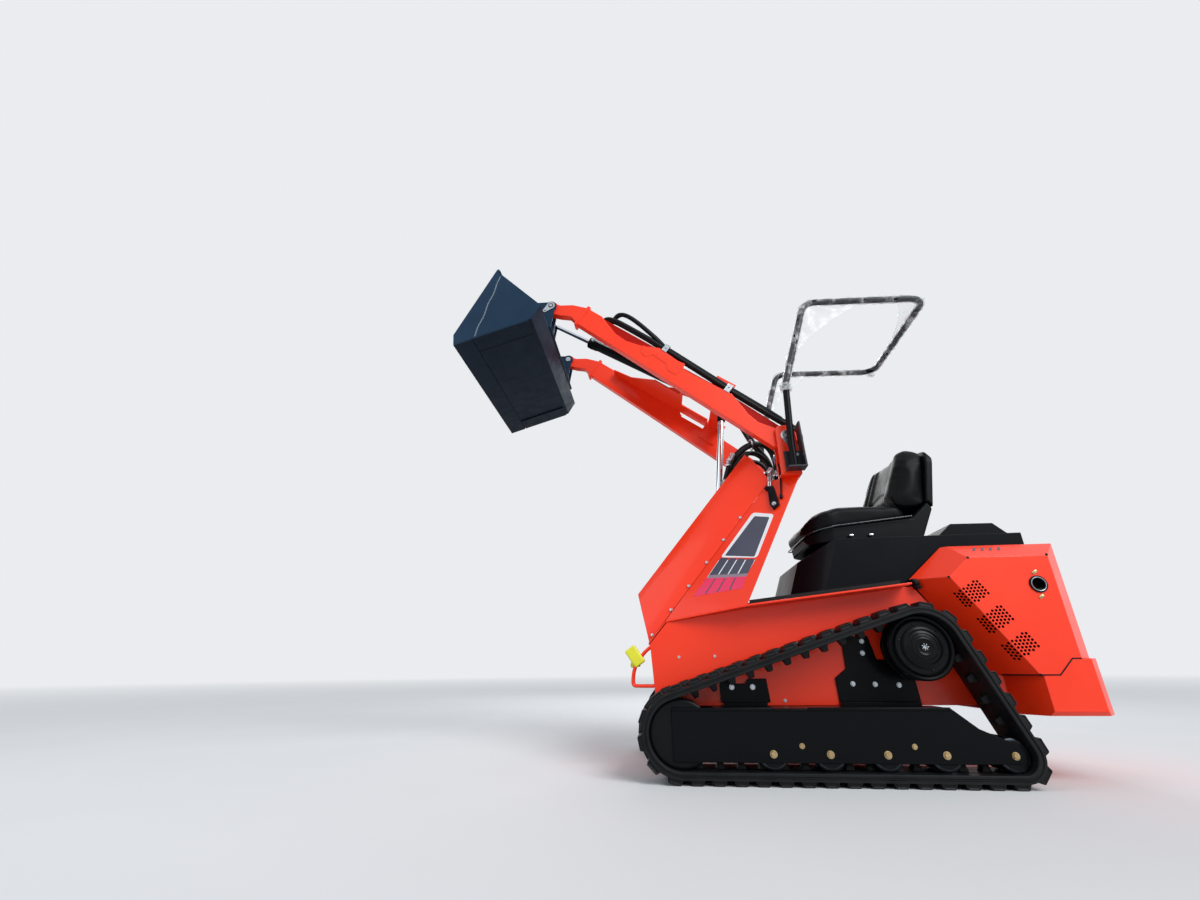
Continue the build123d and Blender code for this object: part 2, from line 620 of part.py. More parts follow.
def frame_mount():
    """Plates on the hull's side and the feet that carry the left track frame."""
    shape = prism(MOUNT_FRONT, HULL_Y, HULL_Y + 8) + block(71, 91, HULL_Y, HULL_Y + 8, 329, 361)
    shape += prism(MOUNT_REAR, HULL_Y, HULL_Y + 8) + prism(MOUNT_MOTOR, HULL_Y, HULL_Y + 8)
    shape -= disc(SPROCKET[0], SPROCKET[1], MOTOR_FLANGE_R, HULL_Y - 1, HULL_Y + 20)
    shape += block(-80, 80, HULL_Y, FRAME_IN, 190, 247)
    return [shape, block(-630, -350, HULL_Y, FRAME_IN, 190, 247)]


MOTOR_FLANGE_R = 92.0


def drive_motor():
    shape = disc(SPROCKET[0], SPROCKET[1], MOTOR_FLANGE_R, HULL_Y, HULL_Y + 10)
    return shape + disc(SPROCKET[0], SPROCKET[1], 64, HULL_Y, TRACK_Y - DISC_OUT)


def lift_base():
    """Lugs on the hull's floor and the pin that carries the lift cylinder."""
    x, z = LIFT_BASE
    lug = [(x - 45, HULL_LOW + HULL_T), (x + 45, HULL_LOW + HULL_T), (x + 28, z), (x - 28, z)]
    shape = disc(x, z, LIFT_BASE_PIN_R, -54, 54)
    for y0, y1 in ((38, 50), (-50, -38)):
        shape += prism(lug, y0, y1) + disc(x, z, 30, y0, y1)
    return shape


LAMP_Y = HULL_Y - 25.0


def front_lamp():
    """The yellow lamp that leans over its guard on the hull's left front."""
    body = Pos(417, LAMP_Y, 415) * Rot(0, 35, 0) * Box(48, 60, 76)
    return body + block(413, 437, LAMP_Y - 12, LAMP_Y + 12, 372, 392)


def lamp_guard():
    return pipe([(335, LAMP_Y, 300), (425, LAMP_Y, 300), (425, LAMP_Y, 372)], 20, 6) - hull()


def work_lamp():
    shape = block(-322, -280, 120, 215, 1268, 1321)
    return shape + block(-312, -292, 215, EAR_IN_Y, 1285, 1303)


def valve_block():
    top = SHELF_Z + SHELF_T
    shape = block(-345, -272, -110, 110, top, top + 56)
    return shape


LEVER_Y = (-80.0, -27.0, 27.0, 80.0)


def levers():
    result = []
    top = SHELF_Z + SHELF_T + 56
    for y in LEVER_Y:
        stick = bar((-328, y, top), (-388, y, top + 118), 6)
        stick = stick - block(-400, -250, y - 20, y + 20, top - 30, top)
        result.append(stick + bar((-386, y, top + 114), (-402, y, top + 146), 14))
    return result


def deck_mat():
    """Rubber on the floor plate and its two strips along the seat cover."""
    (x0, z0), (x1, z1) = DECK_LINE[:2]
    slope = (z1 - z0) / (x1 - x0)

    def strip(a, b, thick, y0, y1):
        za, zb = z1 + slope * (a - x1), z1 + slope * (b - x1)
        return prism([(a, za), (b, zb), (b, zb + thick), (a, za + thick)], y0, y1)

    return [strip(-60, -234, 14, -300, 300), strip(-60, -660, 22, 301, 309), strip(-60, -660, 22, -309, -301)]


def exhaust_ring():
    shape = disc(-1095, 647, 26.5, 380, HOOD_Y) + disc(-1095, 647, 30.5, HOOD_Y, HOOD_Y + 4)
    return shape - disc(-1095, 647, 21, 370, HOOD_Y + 10)


save("hull", [hull()])
save("deck", [deck()])
save("front_cowl", [cowl()])
save("tower_panels", both([tower_panel()]))
save("dash_panel", [dash()])
save("tower_ears", [tower_ears()])
save("boom_pivot_pins", both([pivot_pin()]))
save("rops_hoop", [hoop()])
save("rops_brackets", both([hoop_bracket()]))
save("engine_cover", [engine_cover()])
save("rear_hood", [rear_hood()])
save("rear_bumper", [rear_bumper()])
save("engine_block", [block(-1130, -670, -200, 200, 241, 770)])
save("seat_base", [prism(SEAT_BASE, -SEAT_Y + 40, SEAT_Y - 40)])
save("seat_cushion", [prism(SEAT_CUSHION, -SEAT_Y, SEAT_Y)])
save("seat_back", [prism(SEAT_BACK, -SEAT_Y + 10, SEAT_Y - 10)])
save("track_left", [belt()])
save("track_right", [other_side(belt())])
save("track_frames", both([track_frame()]))
save("rollers", both([wheel(x, ROLLER_Z, ROLLER_R, HUB_R) for x in ROLLER_X]
                     + [wheel(TAIL[0], TAIL[1], TAIL[2] - WHEEL_GAP, HUB_R)]))
save("idlers", both([wheel(IDLER[0], IDLER[1], IDLER[2] - WHEEL_GAP, 85)]))
save("sprockets", both([sprocket()]))
save("boom_arms", both([arm()]))
save("cross_plate", [cross_plate()])
save("boom_hoses", hoses(HOSE_R))
save("hose_clamps", hose_clamps())
save("frame_mounts", both(frame_mount()))
save("drive_motors", both([drive_motor()]))
save("lift_base", [lift_base()])
save("front_lamp", [front_lamp()])
save("lamp_guard", [lamp_guard()])
save("work_lamps", both([work_lamp()]))
save("valve_block", [valve_block()])
save("control_levers", levers())
save("deck_mat", deck_mat())
save("exhaust_ring", [exhaust_ring()])
save("bucket_shell", [bucket_shell()])
save("bucket_hitch", [bucket_hitch()])
save("bucket_pins", both([bucket_pin()]))
save("lift_barrel", [barrel(LIFT_BASE, LIFT_EYE, LIFT_BARREL, LIFT_OD, LIFT_ROD_R, 36, LIFT_BASE_PIN_R)])
save("lift_rod", [piston_rod(LIFT_BASE, LIFT_EYE, LIFT_ROD_L, LIFT_ROD_R, 18, 24)])
TILT_BASE = boom(*TILT_BASE_UV)
save("tilt_barrel", [barrel(TILT_BASE, TILT_PIN, TILT_BARREL, TILT_OD, TILT_ROD_R, 28, TILT_BASE_PIN_R)])
save("tilt_rod", [piston_rod(TILT_BASE, TILT_PIN, TILT_ROD_L, TILT_ROD_R, 16, 22)])
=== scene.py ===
# %% [markdown]
# A mini track loader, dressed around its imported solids. The solids give the shapes and the motions.
# This lesson adds what makes them look real: softened sheet edges, paint, rubber, hoses, bolts and
# stripes. Everything is in metres, X forward, Y to the operator's left and Z up.

# %% Load the solids
import bmesh
import bpy
import math
from math import acos, atan2, cos, hypot, pi, radians, sin
from mathutils import Matrix, Vector, noise


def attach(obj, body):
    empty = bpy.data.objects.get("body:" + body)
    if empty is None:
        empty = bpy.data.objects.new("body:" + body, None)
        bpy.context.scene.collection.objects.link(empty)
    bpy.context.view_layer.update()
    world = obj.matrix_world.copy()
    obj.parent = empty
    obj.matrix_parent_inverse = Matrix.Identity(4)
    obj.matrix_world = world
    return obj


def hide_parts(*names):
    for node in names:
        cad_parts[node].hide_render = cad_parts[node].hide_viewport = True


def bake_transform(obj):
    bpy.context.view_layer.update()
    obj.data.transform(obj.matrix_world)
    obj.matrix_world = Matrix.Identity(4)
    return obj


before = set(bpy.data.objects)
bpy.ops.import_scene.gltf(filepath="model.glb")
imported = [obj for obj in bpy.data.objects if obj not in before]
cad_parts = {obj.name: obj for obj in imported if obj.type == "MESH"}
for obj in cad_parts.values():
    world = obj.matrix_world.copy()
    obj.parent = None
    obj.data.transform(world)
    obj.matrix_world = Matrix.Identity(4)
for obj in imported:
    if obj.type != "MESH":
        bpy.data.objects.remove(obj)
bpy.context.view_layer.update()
scene = bpy.context.scene
MM = 0.001

# %% [markdown]
# The camera stands low and close, almost on the ground, and looks up at the raised bucket. Its
# lens is very wide. Three angles place it: a pitch up, a small roll and a small turn. The three
# axes of the camera are worked out from them, because they are the columns of its matrix.

# %% Camera
CAMERA_PLACE = Vector((0.290, 2.590, 0.378))
PITCH, ROLL, YAW = radians(22.41), radians(-0.54), radians(6.53)
LENS_MM = 15.75


def placed(name, data):
    made = bpy.data.objects.new(name, data)
    scene.collection.objects.link(made)
    return made


level = Vector((-cos(YAW), -sin(YAW), 0))
back = Vector((-sin(YAW), cos(YAW), 0))
up = Vector((0, 0, 1))
look = up * sin(PITCH) - back * cos(PITCH)
above = up * cos(PITCH) + back * sin(PITCH)
right_axis = level * cos(ROLL) + above * sin(ROLL)
up_axis = above * cos(ROLL) - level * sin(ROLL)
camera = placed("camera", bpy.data.cameras.new("camera"))
camera.data.sensor_width = 36.0
camera.data.lens = LENS_MM
axes = Matrix((right_axis, up_axis, -look)).transposed().to_4x4()
camera.matrix_world = Matrix.Translation(CAMERA_PLACE) @ axes
scene.camera = camera
print("camera looks along", look)

# %% [markdown]
# Colours are written as the eye reads them on a screen and turned to linear light by one function.
# `finish` makes nearly every material. It lays up to three clouds of noise over the piece: one
# drifts between two tones, one varies the gloss and one pushes the surface in and out. Each cloud
# is a size in mm and a number of finer layers, so a recipe is one line that can be read aloud. The
# first word is the slot of the solids that the finish dresses.


def linear(code):
    parts = [int(code[i:i + 2], 16) / 255 for i in (0, 2, 4)]
    return tuple(c / 12.92 if c <= 0.04045 else ((c + 0.055) / 1.055) ** 2.4 for c in parts) + (1,)


def add(tree, kind, settings=None, links=None):
    made = tree.nodes.new("ShaderNode" + kind)
    for key, value in (settings or {}).items():
        if isinstance(key, int) or key in made.inputs:
            made.inputs[key].default_value = value
        else:
            setattr(made, key, value)
    for key, source in (links or {}).items():
        tree.links.new(source, made.inputs[key])
    return made


def add_range(tree, source, start, end, low, high):
    settings = {"From Min": start, "From Max": end, "To Min": low, "To Max": high}
    return add(tree, "MapRange", settings, {"Value": source}).outputs["Result"]


def place_on(tree, output="Object"):
    return add(tree, "TexCoord").outputs[output]


def cloud(tree, size_mm, detail=3.0, stretch=(1, 1, 1)):
    """Soft patches of a real size."""
    scale = tuple(s / (size_mm * MM) for s in stretch)
    place = add(tree, "Mapping", {"Scale": scale}, {"Vector": place_on(tree)})
    noise_node = add(tree, "TexNoise", {"Scale": 1.0, "Detail": detail}, {"Vector": place.outputs["Vector"]})
    return noise_node.outputs["Fac"]


def relief(tree, shader, height, depth_mm):
    bump = add(tree, "Bump", {"Distance": depth_mm * MM, "Strength": 1.0}, {"Height": height})
    tree.links.new(bump.outputs["Normal"], shader.inputs["Normal"])


def nodes_of(material):
    return material.node_tree, material.node_tree.nodes["Principled BSDF"]


def finish(name, settings, tones, tone_cloud, gloss=None, gloss_cloud=None, bump_cloud=None,
           depth_mm=0):
    """A material: two tones, a low and a high roughness, and a bump, each along its own cloud."""
    made = bpy.data.materials.new(name)
    made.use_nodes = True
    tree, shader = nodes_of(made)
    for key, value in settings.items():
        shader.inputs[key].default_value = value
    dark, light = (linear(code) for code in tones.split())
    mix = add(tree, "Mix", {"data_type": "RGBA", 6: dark, 7: light}, {0: cloud(tree, *tone_cloud)})
    tree.links.new(mix.outputs[2], shader.inputs["Base Color"])
    if gloss:
        spread = add_range(tree, cloud(tree, *(gloss_cloud or tone_cloud)), 0.3, 0.7, *gloss)
        tree.links.new(spread, shader.inputs["Roughness"])
    if bump_cloud:
        relief(tree, shader, cloud(tree, *bump_cloud), depth_mm)
    return made


print("colour test:", linear("ff4a22"))

# %% [markdown]
# The light is soft and plain: a pale sky from everywhere, one wide sun and three big soft lamps.
# The sun stands on the camera's side and a little behind the machine, so the rear side is bright
# and the facets that look forward and down fall dark. The floor and sky are pale to the camera and
# to reflections. Far away the floor fades into the sky, and near the machine it keeps the shadow.

# %% Light, sky and floor
scene.view_settings.view_transform = "Standard"
SKY_LIGHT, SKY_SEEN = 0.40, 0.93
world = bpy.data.worlds.new("sky")
scene.world = world
world.use_nodes = True
sky = world.node_tree
sky.nodes.clear()
rays = add(sky, "LightPath").outputs
seen = add(sky, "Math", {"operation": "ADD"}, {0: rays["Is Camera Ray"], 1: rays["Is Glossy Ray"]})
seen_all = add(sky, "Math", {"operation": "ADD", "use_clamp": True},
               {0: seen.outputs[0], 1: rays["Is Transmission Ray"]})
lit = add(sky, "Background", {"Color": linear("e8f0fa"), "Strength": SKY_LIGHT})
shown = add(sky, "Background", {"Color": linear("f2f4f7"), "Strength": SKY_SEEN})
both_skies = add(sky, "MixShader", {}, {0: seen_all.outputs[0], 1: lit.outputs[0], 2: shown.outputs[0]})
add(sky, "OutputWorld", {}, {"Surface": both_skies.outputs[0]})

LAMPS = (
    # name, kind, place, width in metres or radians, strength
    ("sun", "SUN", (-2.9, 3.2, 3.8), 0.6, 1.7),
    ("key_lamp", "AREA", (-2.6, 3.6, 4.2), 2.4, 70),
    ("fill_lamp", "AREA", (4.0, 2.6, 3.4), 3.0, 40),
    ("back_lamp", "AREA", (-0.5, -4.5, 4.0), 3.0, 90),
)
AIM = Vector((-0.1, 0, 0.9))
for name, kind, place, width, strength in LAMPS:
    lamp = placed(name, bpy.data.lights.new(name, kind))
    lamp.data.energy = strength
    setattr(lamp.data, "angle" if kind == "SUN" else "size", width)
    lamp.location = place
    lamp.rotation_mode = "QUATERNION"
    lamp.rotation_quaternion = (AIM - Vector(place)).to_track_quat("-Z", "Y")

FLOOR_SIZE = 60.0
FADE_START, FADE_END = 3.5, 22.0
floor = placed("floor", bpy.data.meshes.new("floor"))
bm = bmesh.new()
bmesh.ops.create_grid(bm, x_segments=1, y_segments=1, size=FLOOR_SIZE / 2)
bm.to_mesh(floor.data)
ground = finish("pale studio floor", {"Roughness": 0.9, "Specular IOR Level": 0.2}, "dfe1e3 e6e8e9",
                (800,))
tree, shader = nodes_of(ground)
reach = add(tree, "VectorMath", {"operation": "LENGTH"}, {0: place_on(tree)})
fade = add_range(tree, reach.outputs["Value"], FADE_START, FADE_END, 0.0, 1.0)
seen_fade = add(tree, "Math", {"operation": "MULTIPLY"},
                {0: fade, 1: add(tree, "LightPath").outputs["Is Camera Ray"]})
far = add(tree, "Emission", {"Color": linear("f2f4f7"), "Strength": SKY_SEEN})
mixed = add(tree, "MixShader", {}, {0: seen_fade.outputs[0], 1: shader.outputs[0], 2: far.outputs[0]})
tree.links.new(mixed.outputs[0], tree.nodes["Material Output"].inputs["Surface"])
floor.data.materials.append(ground)
print("lamps:", len(LAMPS))

# %% [markdown]
# The orange-red is a glossy powder coat. It shows a wide soft highlight, a thin clear skin and
# the faint ripple that painters call orange peel. Its real ripple is about 2 mm across, too fine
# to show from here, so it is drawn at 9 mm. The tone drifts a little over half a metre. The
# recessed faces of the inner plate inside the arms get a darker, duller red: painted shade, and
# that dark recess is what makes the arms read as two plates.

# %% Powder coats
COATS = (
    # slot, name, tones, least roughness, ripple size and depth in mm, clear coat, sheen
    ("red_paint", "orange-red powder coat", "f62c08 ff3e12", 0.32, 9, 0.10, 0.25, 0.35),
    # the next coat's darker red is painted shade for the recessed faces inside the arms
    ("red_paint", "red with painted shade on the inner plate", "9a0f06 b81409", 0.45, 9, 0.10, 0.0, 0.1),
    ("black_paint", "black powder coat", "05070a 0a0e13", 0.30, 9, 0.12, 0.04, 0.08),
    ("black_paint", "black frame paint", "050608 0a0c10", 0.26, 14, 0.18, 0.04, 0.08),
    ("black_paint", "charcoal bracket paint", "1c2024 2a2f35", 0.40, 9, 0.12, 0.08, 0.3),
    ("black_iron", "black wheel paint", "060708 0c0e11", 0.30, 12, 0.25, 0.05, 0.12),
)
coats = []
for slot, name, tones, gloss, ripple, depth, coat, sheen in COATS:
    settings = {"Coat Weight": coat, "Coat Roughness": 0.09, "Specular IOR Level": sheen}
    coats.append(finish(name, settings, tones, (500,), (gloss, gloss + 0.10), (120, 5),
                        (ripple, 2), depth))
RED, SHADED_RED, BLACK, FRAME_BLACK, CHARCOAL, IRON = coats
print("coats:", len(coats))

# %% [markdown]
# The bucket is painted plate: satin, blue-black, with long faint streaks where the roller marks
# of the hot-rolled steel show through the paint. Streaks are noise stretched along the plate. Faces
# that point down in the piece's own axes go nearly black: painted shade on the underside.

# %% Bucket paint
STREAK = (250, 6, (1, 0.25, 1))
BUCKET = finish("blue-black bucket paint", {"Specular IOR Level": 0.07}, "142536 2a425a",
                STREAK, (0.34, 0.55), (50, 6), (12, 4), 0.25)
tree, shader = nodes_of(BUCKET)
# Faces that point down get the near-black tone: painted shade on the underside.
turned = add(tree, "SeparateXYZ", {}, {"Vector": place_on(tree, "Normal")})
underside_shade = add_range(tree, turned.outputs["Z"], -0.75, -0.35, 0.7, 0.0)
clean = shader.inputs["Base Color"].links[0].from_socket
shaded_underside = add(tree, "Mix", {"data_type": "RGBA", 7: linear("04080e")}, {0: underside_shade, 6: clean})
tree.links.new(shaded_underside.outputs[2], shader.inputs["Base Color"])

# %% [markdown]
# Bare metals: bright zinc on pins and clamps, hard chrome on the rods, yellow zinc on the track
# bolts, and worn dark steel on the rollers. Chrome is nearly a mirror. Zinc is softer and has a
# cloudy, slightly blue tone, and yellow zinc has the gold tint of its passivation bath.

# %% Metals
METALS = (
    # slot, name, tones, roughness low and high, cloud size in mm
    ("pin_steel", "bright zinc plate", "9aa3ab d5dbe0", 0.22, 0.38, 14),
    ("rod_chrome", "hard chrome", "c9d0d6 e6eaee", 0.06, 0.12, 90),
    ("pin_steel", "yellow zinc plate", "9c8256 dcc69a", 0.24, 0.40, 9),
    ("pin_steel", "brushed stainless", "8d9399 c3c8cc", 0.20, 0.32, 20),
    ("black_iron", "worn roller steel", "24272b 4a4f55", 0.24, 0.40, 12),
)
metals = [finish(name, {"Metallic": 1.0}, tones, (size, 4), (low, high))
          for slot, name, tones, low, high, size in METALS]
ZINC, CHROME, GOLD, STAINLESS, WORN = metals
print("metals:", len(metals))

# %% [markdown]
# Rubber and plastics. Track rubber is matt and deep grey with a dusty bloom. Hose rubber is
# smoother. Seat vinyl has a leather grain: cells about 3 mm across, drawn at 5 mm so they show.
# Voronoi distance gives the cells and a bump turns them into pebbles.

# %% Rubber, vinyl and plastic
TRACK = finish("track rubber", {"Specular IOR Level": 0.22}, "050607 15171a",
               (60, 8), (0.36, 0.62), None, (7, 3), 0.35)
HOSE = finish("hose rubber", {"Specular IOR Level": 0.25}, "060708 101214",
              (4, 2), (0.34, 0.5), None, (4, 2), 0.15)
PLASTIC = finish("black moulded plastic", {"Roughness": 0.42, "Specular IOR Level": 0.10},
                 "08090b 101317", (50,), bump_cloud=(3, 2), depth_mm=0.12)
YELLOW = finish("yellow lamp plastic", {"Roughness": 0.35, "Coat Weight": 0.3},
                "d8d512 ece93a", (50,), bump_cloud=(6, 2), depth_mm=0.1)
VINYL = finish("grained seat vinyl", {"Specular IOR Level": 0.09}, "060709 0e1013",
               (150,), (0.40, 0.52), (80, 4))
GRAIN_MM = 5
tree, shader = nodes_of(VINYL)
cells = add(tree, "TexVoronoi", {"Scale": 1 / (GRAIN_MM * MM)}, {"Vector": place_on(tree)})
relief(tree, shader, cells.outputs["Distance"], 0.2)
print("soft finishes made")

# %% [markdown]
# Real sheet metal has no razor edges. Each solid that shows is copied, its loose triangles are
# merged into flat faces, and every edge sharper than 25 degrees gets a small round. A weighted
# normal modifier then keeps the big faces flat and lets only the round catch the light.

# %% Copy a solid and round its edges
def show(name, bm, material, body="chassis", replaced=(), sharp=35, weighted=False):
    """Turns a bmesh into a piece that rides on a body. With no body it is left free to be blended."""
    made = placed(name, bpy.data.meshes.new(name))
    bm.to_mesh(made.data)
    bm.free()
    made.data.shade_smooth()
    made.data.set_sharp_from_angle(angle=radians(sharp))
    made.data.materials.append(material)
    if weighted:
        made.modifiers.new("flat faces", "WEIGHTED_NORMAL").keep_sharp = True
    if body:
        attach(made, body)
    if replaced:
        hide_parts(*replaced)
    return made


def from_mesh(mesh):
    bm = bmesh.new()
    bm.from_mesh(mesh)
    return bm


def merged_copy(node):
    bm = from_mesh(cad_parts[node].data)
    bmesh.ops.remove_doubles(bm, verts=bm.verts, dist=2e-5)
    bmesh.ops.dissolve_limit(bm, angle_limit=radians(1.0), verts=bm.verts, edges=bm.edges)
    return bm


def round_edges(bm, width_mm, steps=2, angle=25):
    edges = [e for e in bm.edges if e.is_manifold and e.calc_face_angle(0) > radians(angle)]
    bmesh.ops.bevel(bm, geom=edges, offset=width_mm * MM, segments=steps, profile=0.5, affect="EDGES",
                    material=-1, clamp_overlap=False)
    return bm


ROUNDED = (
    # body, material, then each node with its edge round in mm
    ("chassis", RED, {"hull": 1.5, "deck": 2.0, "front_cowl": 1.8, "tower_panels": 1.5, "dash_panel": 1.5,
                      "tower_ears": 2.0, "rear_hood": 1.8, "rear_bumper": 1.8}),
    ("boom", RED, {"boom_arms": 2.0, "cross_plate": 2.0}),
    ("chassis", BLACK, {"engine_cover": 1.8}),
    ("chassis", CHARCOAL, {"rops_brackets": 1.5}),
    ("chassis", FRAME_BLACK, {"track_frames": 2.2, "frame_mounts": 1.5}),
    ("bucket", BUCKET, {"bucket_shell": 2.0, "bucket_hitch": 2.0}),
    ("chassis", IRON, {"rollers": 1.5, "idlers": 2.0, "sprockets": 1.5}),
    ("chassis", PLASTIC, {"work_lamps": 3.0}),
    ("chassis", BLACK, {"valve_block": 3.0}),
    ("chassis", YELLOW, {"front_lamp": 6.0}),
)
for body, material, widths in ROUNDED:
    for node, width in widths.items():
        slot = "black_iron" if node == "valve_block" else None
        bm = round_edges(merged_copy(node), width)
        show(node + "_dressed", bm, material, body, [node], weighted=True)

# The recessed faces of the inner plate get the darker red: painted shade inside the arms.
arms = bpy.data.objects["boom_arms_dressed"].data
arms.materials.append(SHADED_RED)
SPLIT_Y = 272.0
recessed = [face for face in arms.polygons
            if abs(abs(face.center.y) - SPLIT_Y * MM) < 0.5 * MM and abs(face.normal.y) > 0.99]
for face in recessed:
    face.material_index = 1
print("inner plate faces:", len(recessed))

PLAIN = (
    # material, nodes that keep their own mesh
    (BLACK, ("drive_motors", "lift_base", "rops_hoop", "lift_barrel", "tilt_barrel", "exhaust_ring")),
    (IRON, ("engine_block",)),
    (RED, ("lamp_guard",)),
    (ZINC, ("boom_pivot_pins", "bucket_pins", "hose_clamps")),
    (CHROME, ("lift_rod", "tilt_rod")),
    (TRACK, ("deck_mat", "track_left", "track_right")),
    (PLASTIC, ("seat_base",)),
    (VINYL, ("seat_cushion", "seat_back")),
)
for material, nodes in PLAIN:
    for node in nodes:
        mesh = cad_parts[node].data
        mesh.materials.clear()
        mesh.materials.append(material)
print("rounded:", sum(len(row[2]) for row in ROUNDED))

# %% [markdown]
# Helpers for new pieces. A part is a small bmesh made once, at the origin. `stamp` copies it into
# a bigger bmesh through a matrix, so a bolt or a lug is modelled once and repeated in a loop.
# `facing` gives the matrix that stands a part on a surface with its own Z along the normal. What
# stands on the machine's left is modelled once and `mirrored` adds the right side.

# %% Stamps, prisms and bolts
LEFT = (0, 1, 0)
STILL = Matrix.Identity(4)


def stamp(bm, part, matrix=STILL):
    mesh = bpy.data.meshes.new("stamp")
    part.to_mesh(mesh)
    mesh.transform(matrix)
    bm.from_mesh(mesh)
    bpy.data.meshes.remove(mesh)


def stamped(part, *matrices):
    bm = bmesh.new()
    for matrix in matrices:
        stamp(bm, part, matrix)
    return bm


def joined(*parts, at=STILL):
    bm = bmesh.new()
    for part in parts:
        stamp(bm, part, at)
    return bm


def mirrored(bm):
    """Adds the other side's copy of everything in the bmesh."""
    mesh = bpy.data.meshes.new("half")
    bm.to_mesh(mesh)
    mesh.transform(Matrix.Diagonal((1, -1, 1, 1)))
    mesh.flip_normals()
    bm.from_mesh(mesh)
    bpy.data.meshes.remove(mesh)
    return bm


def facing(place, normal=LEFT, spin=0.0, size=1.0):
    turn = Vector(normal).to_track_quat("Z", "Y").to_matrix().to_4x4()
    return (Matrix.Translation(Vector(place) * MM) @ turn @ Matrix.Rotation(spin, 4, "Z")
            @ Matrix.Scale(size, 4))


def carry(bm, faces, step):
    """Extrudes faces by a step and turns every normal outward."""
    carried = bmesh.ops.extrude_face_region(bm, geom=faces)["geom"]
    bmesh.ops.translate(bm, verts=[v for v in carried if isinstance(v, bmesh.types.BMVert)], vec=step)
    bmesh.ops.recalc_face_normals(bm, faces=bm.faces)
    return bm


def prism(outline, low, high, axis="y"):
    """A closed outline in mm, drawn in two axes and carried along the third."""
    bm = bmesh.new()
    order = {"x": (2, 0, 1), "y": (0, 2, 1), "z": (0, 1, 2)}[axis]

    def lift(*drawn):
        return Vector([drawn[i] for i in order]) * MM

    face = bm.faces.new([bm.verts.new(lift(a, b, low)) for a, b in outline])
    return carry(bm, [face], lift(0, 0, high) - lift(0, 0, low))


def box(low, high, round_mm=0.0):
    bm = bmesh.new()
    size, middle = Vector(high) - Vector(low), (Vector(high) + Vector(low)) / 2
    place = Matrix.Translation(middle * MM) @ Matrix.Diagonal((*(size * MM), 1))
    bmesh.ops.create_cube(bm, size=1, matrix=place)
    return round_edges(bm, round_mm) if round_mm else bm


def lathe(profile, steps=32):
    """A profile of (radius, height) in mm turned once about Z."""
    bm = bmesh.new()
    verts = [bm.verts.new((r * MM, 0, h * MM)) for r, h in profile]
    edges = [bm.edges.new(pair) for pair in zip(verts, verts[1:])]
    bmesh.ops.spin(bm, geom=verts + edges, cent=(0, 0, 0), axis=(0, 0, 1), angle=2 * pi, steps=steps,
                   use_merge=True, use_duplicate=False)
    bmesh.ops.remove_doubles(bm, verts=bm.verts, dist=1e-6)
    bmesh.ops.recalc_face_normals(bm, faces=bm.faces)
    return bm


def disc(radius, height, steps):
    return lathe([(0, 0), (radius, 0), (radius, height), (0, height)], steps)


WASHER_MM = 1.2


def hex_bolt(radius=8.0, height=5.0):
    """A washer and a chamfered six-sided head, standing on z = 0."""
    head = bmesh.new()
    bmesh.ops.create_circle(head, cap_ends=True, segments=6, radius=radius * MM)
    carry(head, head.faces[:], (0, 0, height * MM))
    round_edges(head, 0.6, 1)
    bm = disc(radius * 1.25, WASHER_MM, 20)
    stamp(bm, head, Matrix.Translation((0, 0, WASHER_MM * MM)))
    return bm


BOLT = hex_bolt()
print("bolt faces:", len(BOLT.faces))

# %% [markdown]
# A rubber track is one moulded loop over the idler, the high sprocket and the small tail wheel.
# It is modelled flat, as on the mould: a carcass with grooved edges, chunky lugs in two staggered
# rows outside and one row of guide lugs inside. Then every point is laid round the loop: its
# length becomes the way along the belt and its height the distance from the wheels.

# %% Track loop
IDLER, SPROCKET, TAIL = (253.0, 155.0, 113.0), (-624.0, 432.0, 113.0), (-828.0, 95.0, 53.0)
BELT_T, LUG_H, GUIDE_H, TRACK_Y = 24.0, 18.0, 25.0, 410.0
PITCH_MM = 72.0
MIDDLE = BELT_T / 2


def loop_parts():
    """Straights and arcs at the middle of the belt, in the order the belt runs."""
    wheels = [(x, z, r + MIDDLE) for x, z, r in (IDLER, SPROCKET, TAIL)]
    outs = []
    for (x0, z0, r0), (x1, z1, r1) in zip(wheels, wheels[1:] + wheels[:1]):
        outs.append(atan2(z1 - z0, x1 - x0) - acos((r0 - r1) / hypot(x1 - x0, z1 - z0)))
    parts = []
    for i, (x0, z0, r0) in enumerate(wheels):
        x1, z1, r1 = wheels[(i + 1) % 3]
        start = (x0 + r0 * cos(outs[i]), z0 + r0 * sin(outs[i]))
        end = (x1 + r1 * cos(outs[i]), z1 + r1 * sin(outs[i]))
        parts.append(("run", hypot(end[0] - start[0], end[1] - start[1]), start, outs[i], 0))
        turn = (outs[(i + 1) % 3] - outs[i]) % (2 * pi)
        parts.append(("arc", r1 * turn, (x1, z1), outs[i], r1))
    return parts


LOOP = loop_parts()
LOOP_LENGTH = sum(part[1] for part in LOOP)
LINKS = round(LOOP_LENGTH / PITCH_MM)
PITCH_REAL = LOOP_LENGTH / LINKS


def on_loop(s, height):
    s %= LOOP_LENGTH
    for kind, length, place, out, radius in LOOP:
        if s <= length:
            break
        s -= length
    lift = height - MIDDLE
    if kind == "run":
        ahead = out + pi / 2
        return (place[0] + cos(ahead) * s + cos(out) * lift, place[1] + sin(ahead) * s + sin(out) * lift)
    angle, reach = out + s / radius, radius + lift
    return (place[0] + reach * cos(angle), place[1] + reach * sin(angle))


print("track links:", LINKS, "pitch mm:", round(PITCH_REAL, 2))

# %% Track meshes
STEPS_PER_LINK = 6
LUG_LENGTH, LUG_TOP = 52.0, BELT_T + LUG_H
LUG_START, RIB_START, GUIDE_START = 10, 61, 8
EDGE = [(-90, 3), (-87, 0), (87, 0), (90, 3), (90, 9), (86.5, 11), (86.5, 15), (90, 17), (90, 24),
        (-90, 24), (-90, 17), (-86.5, 15), (-86.5, 11), (-90, 9)]


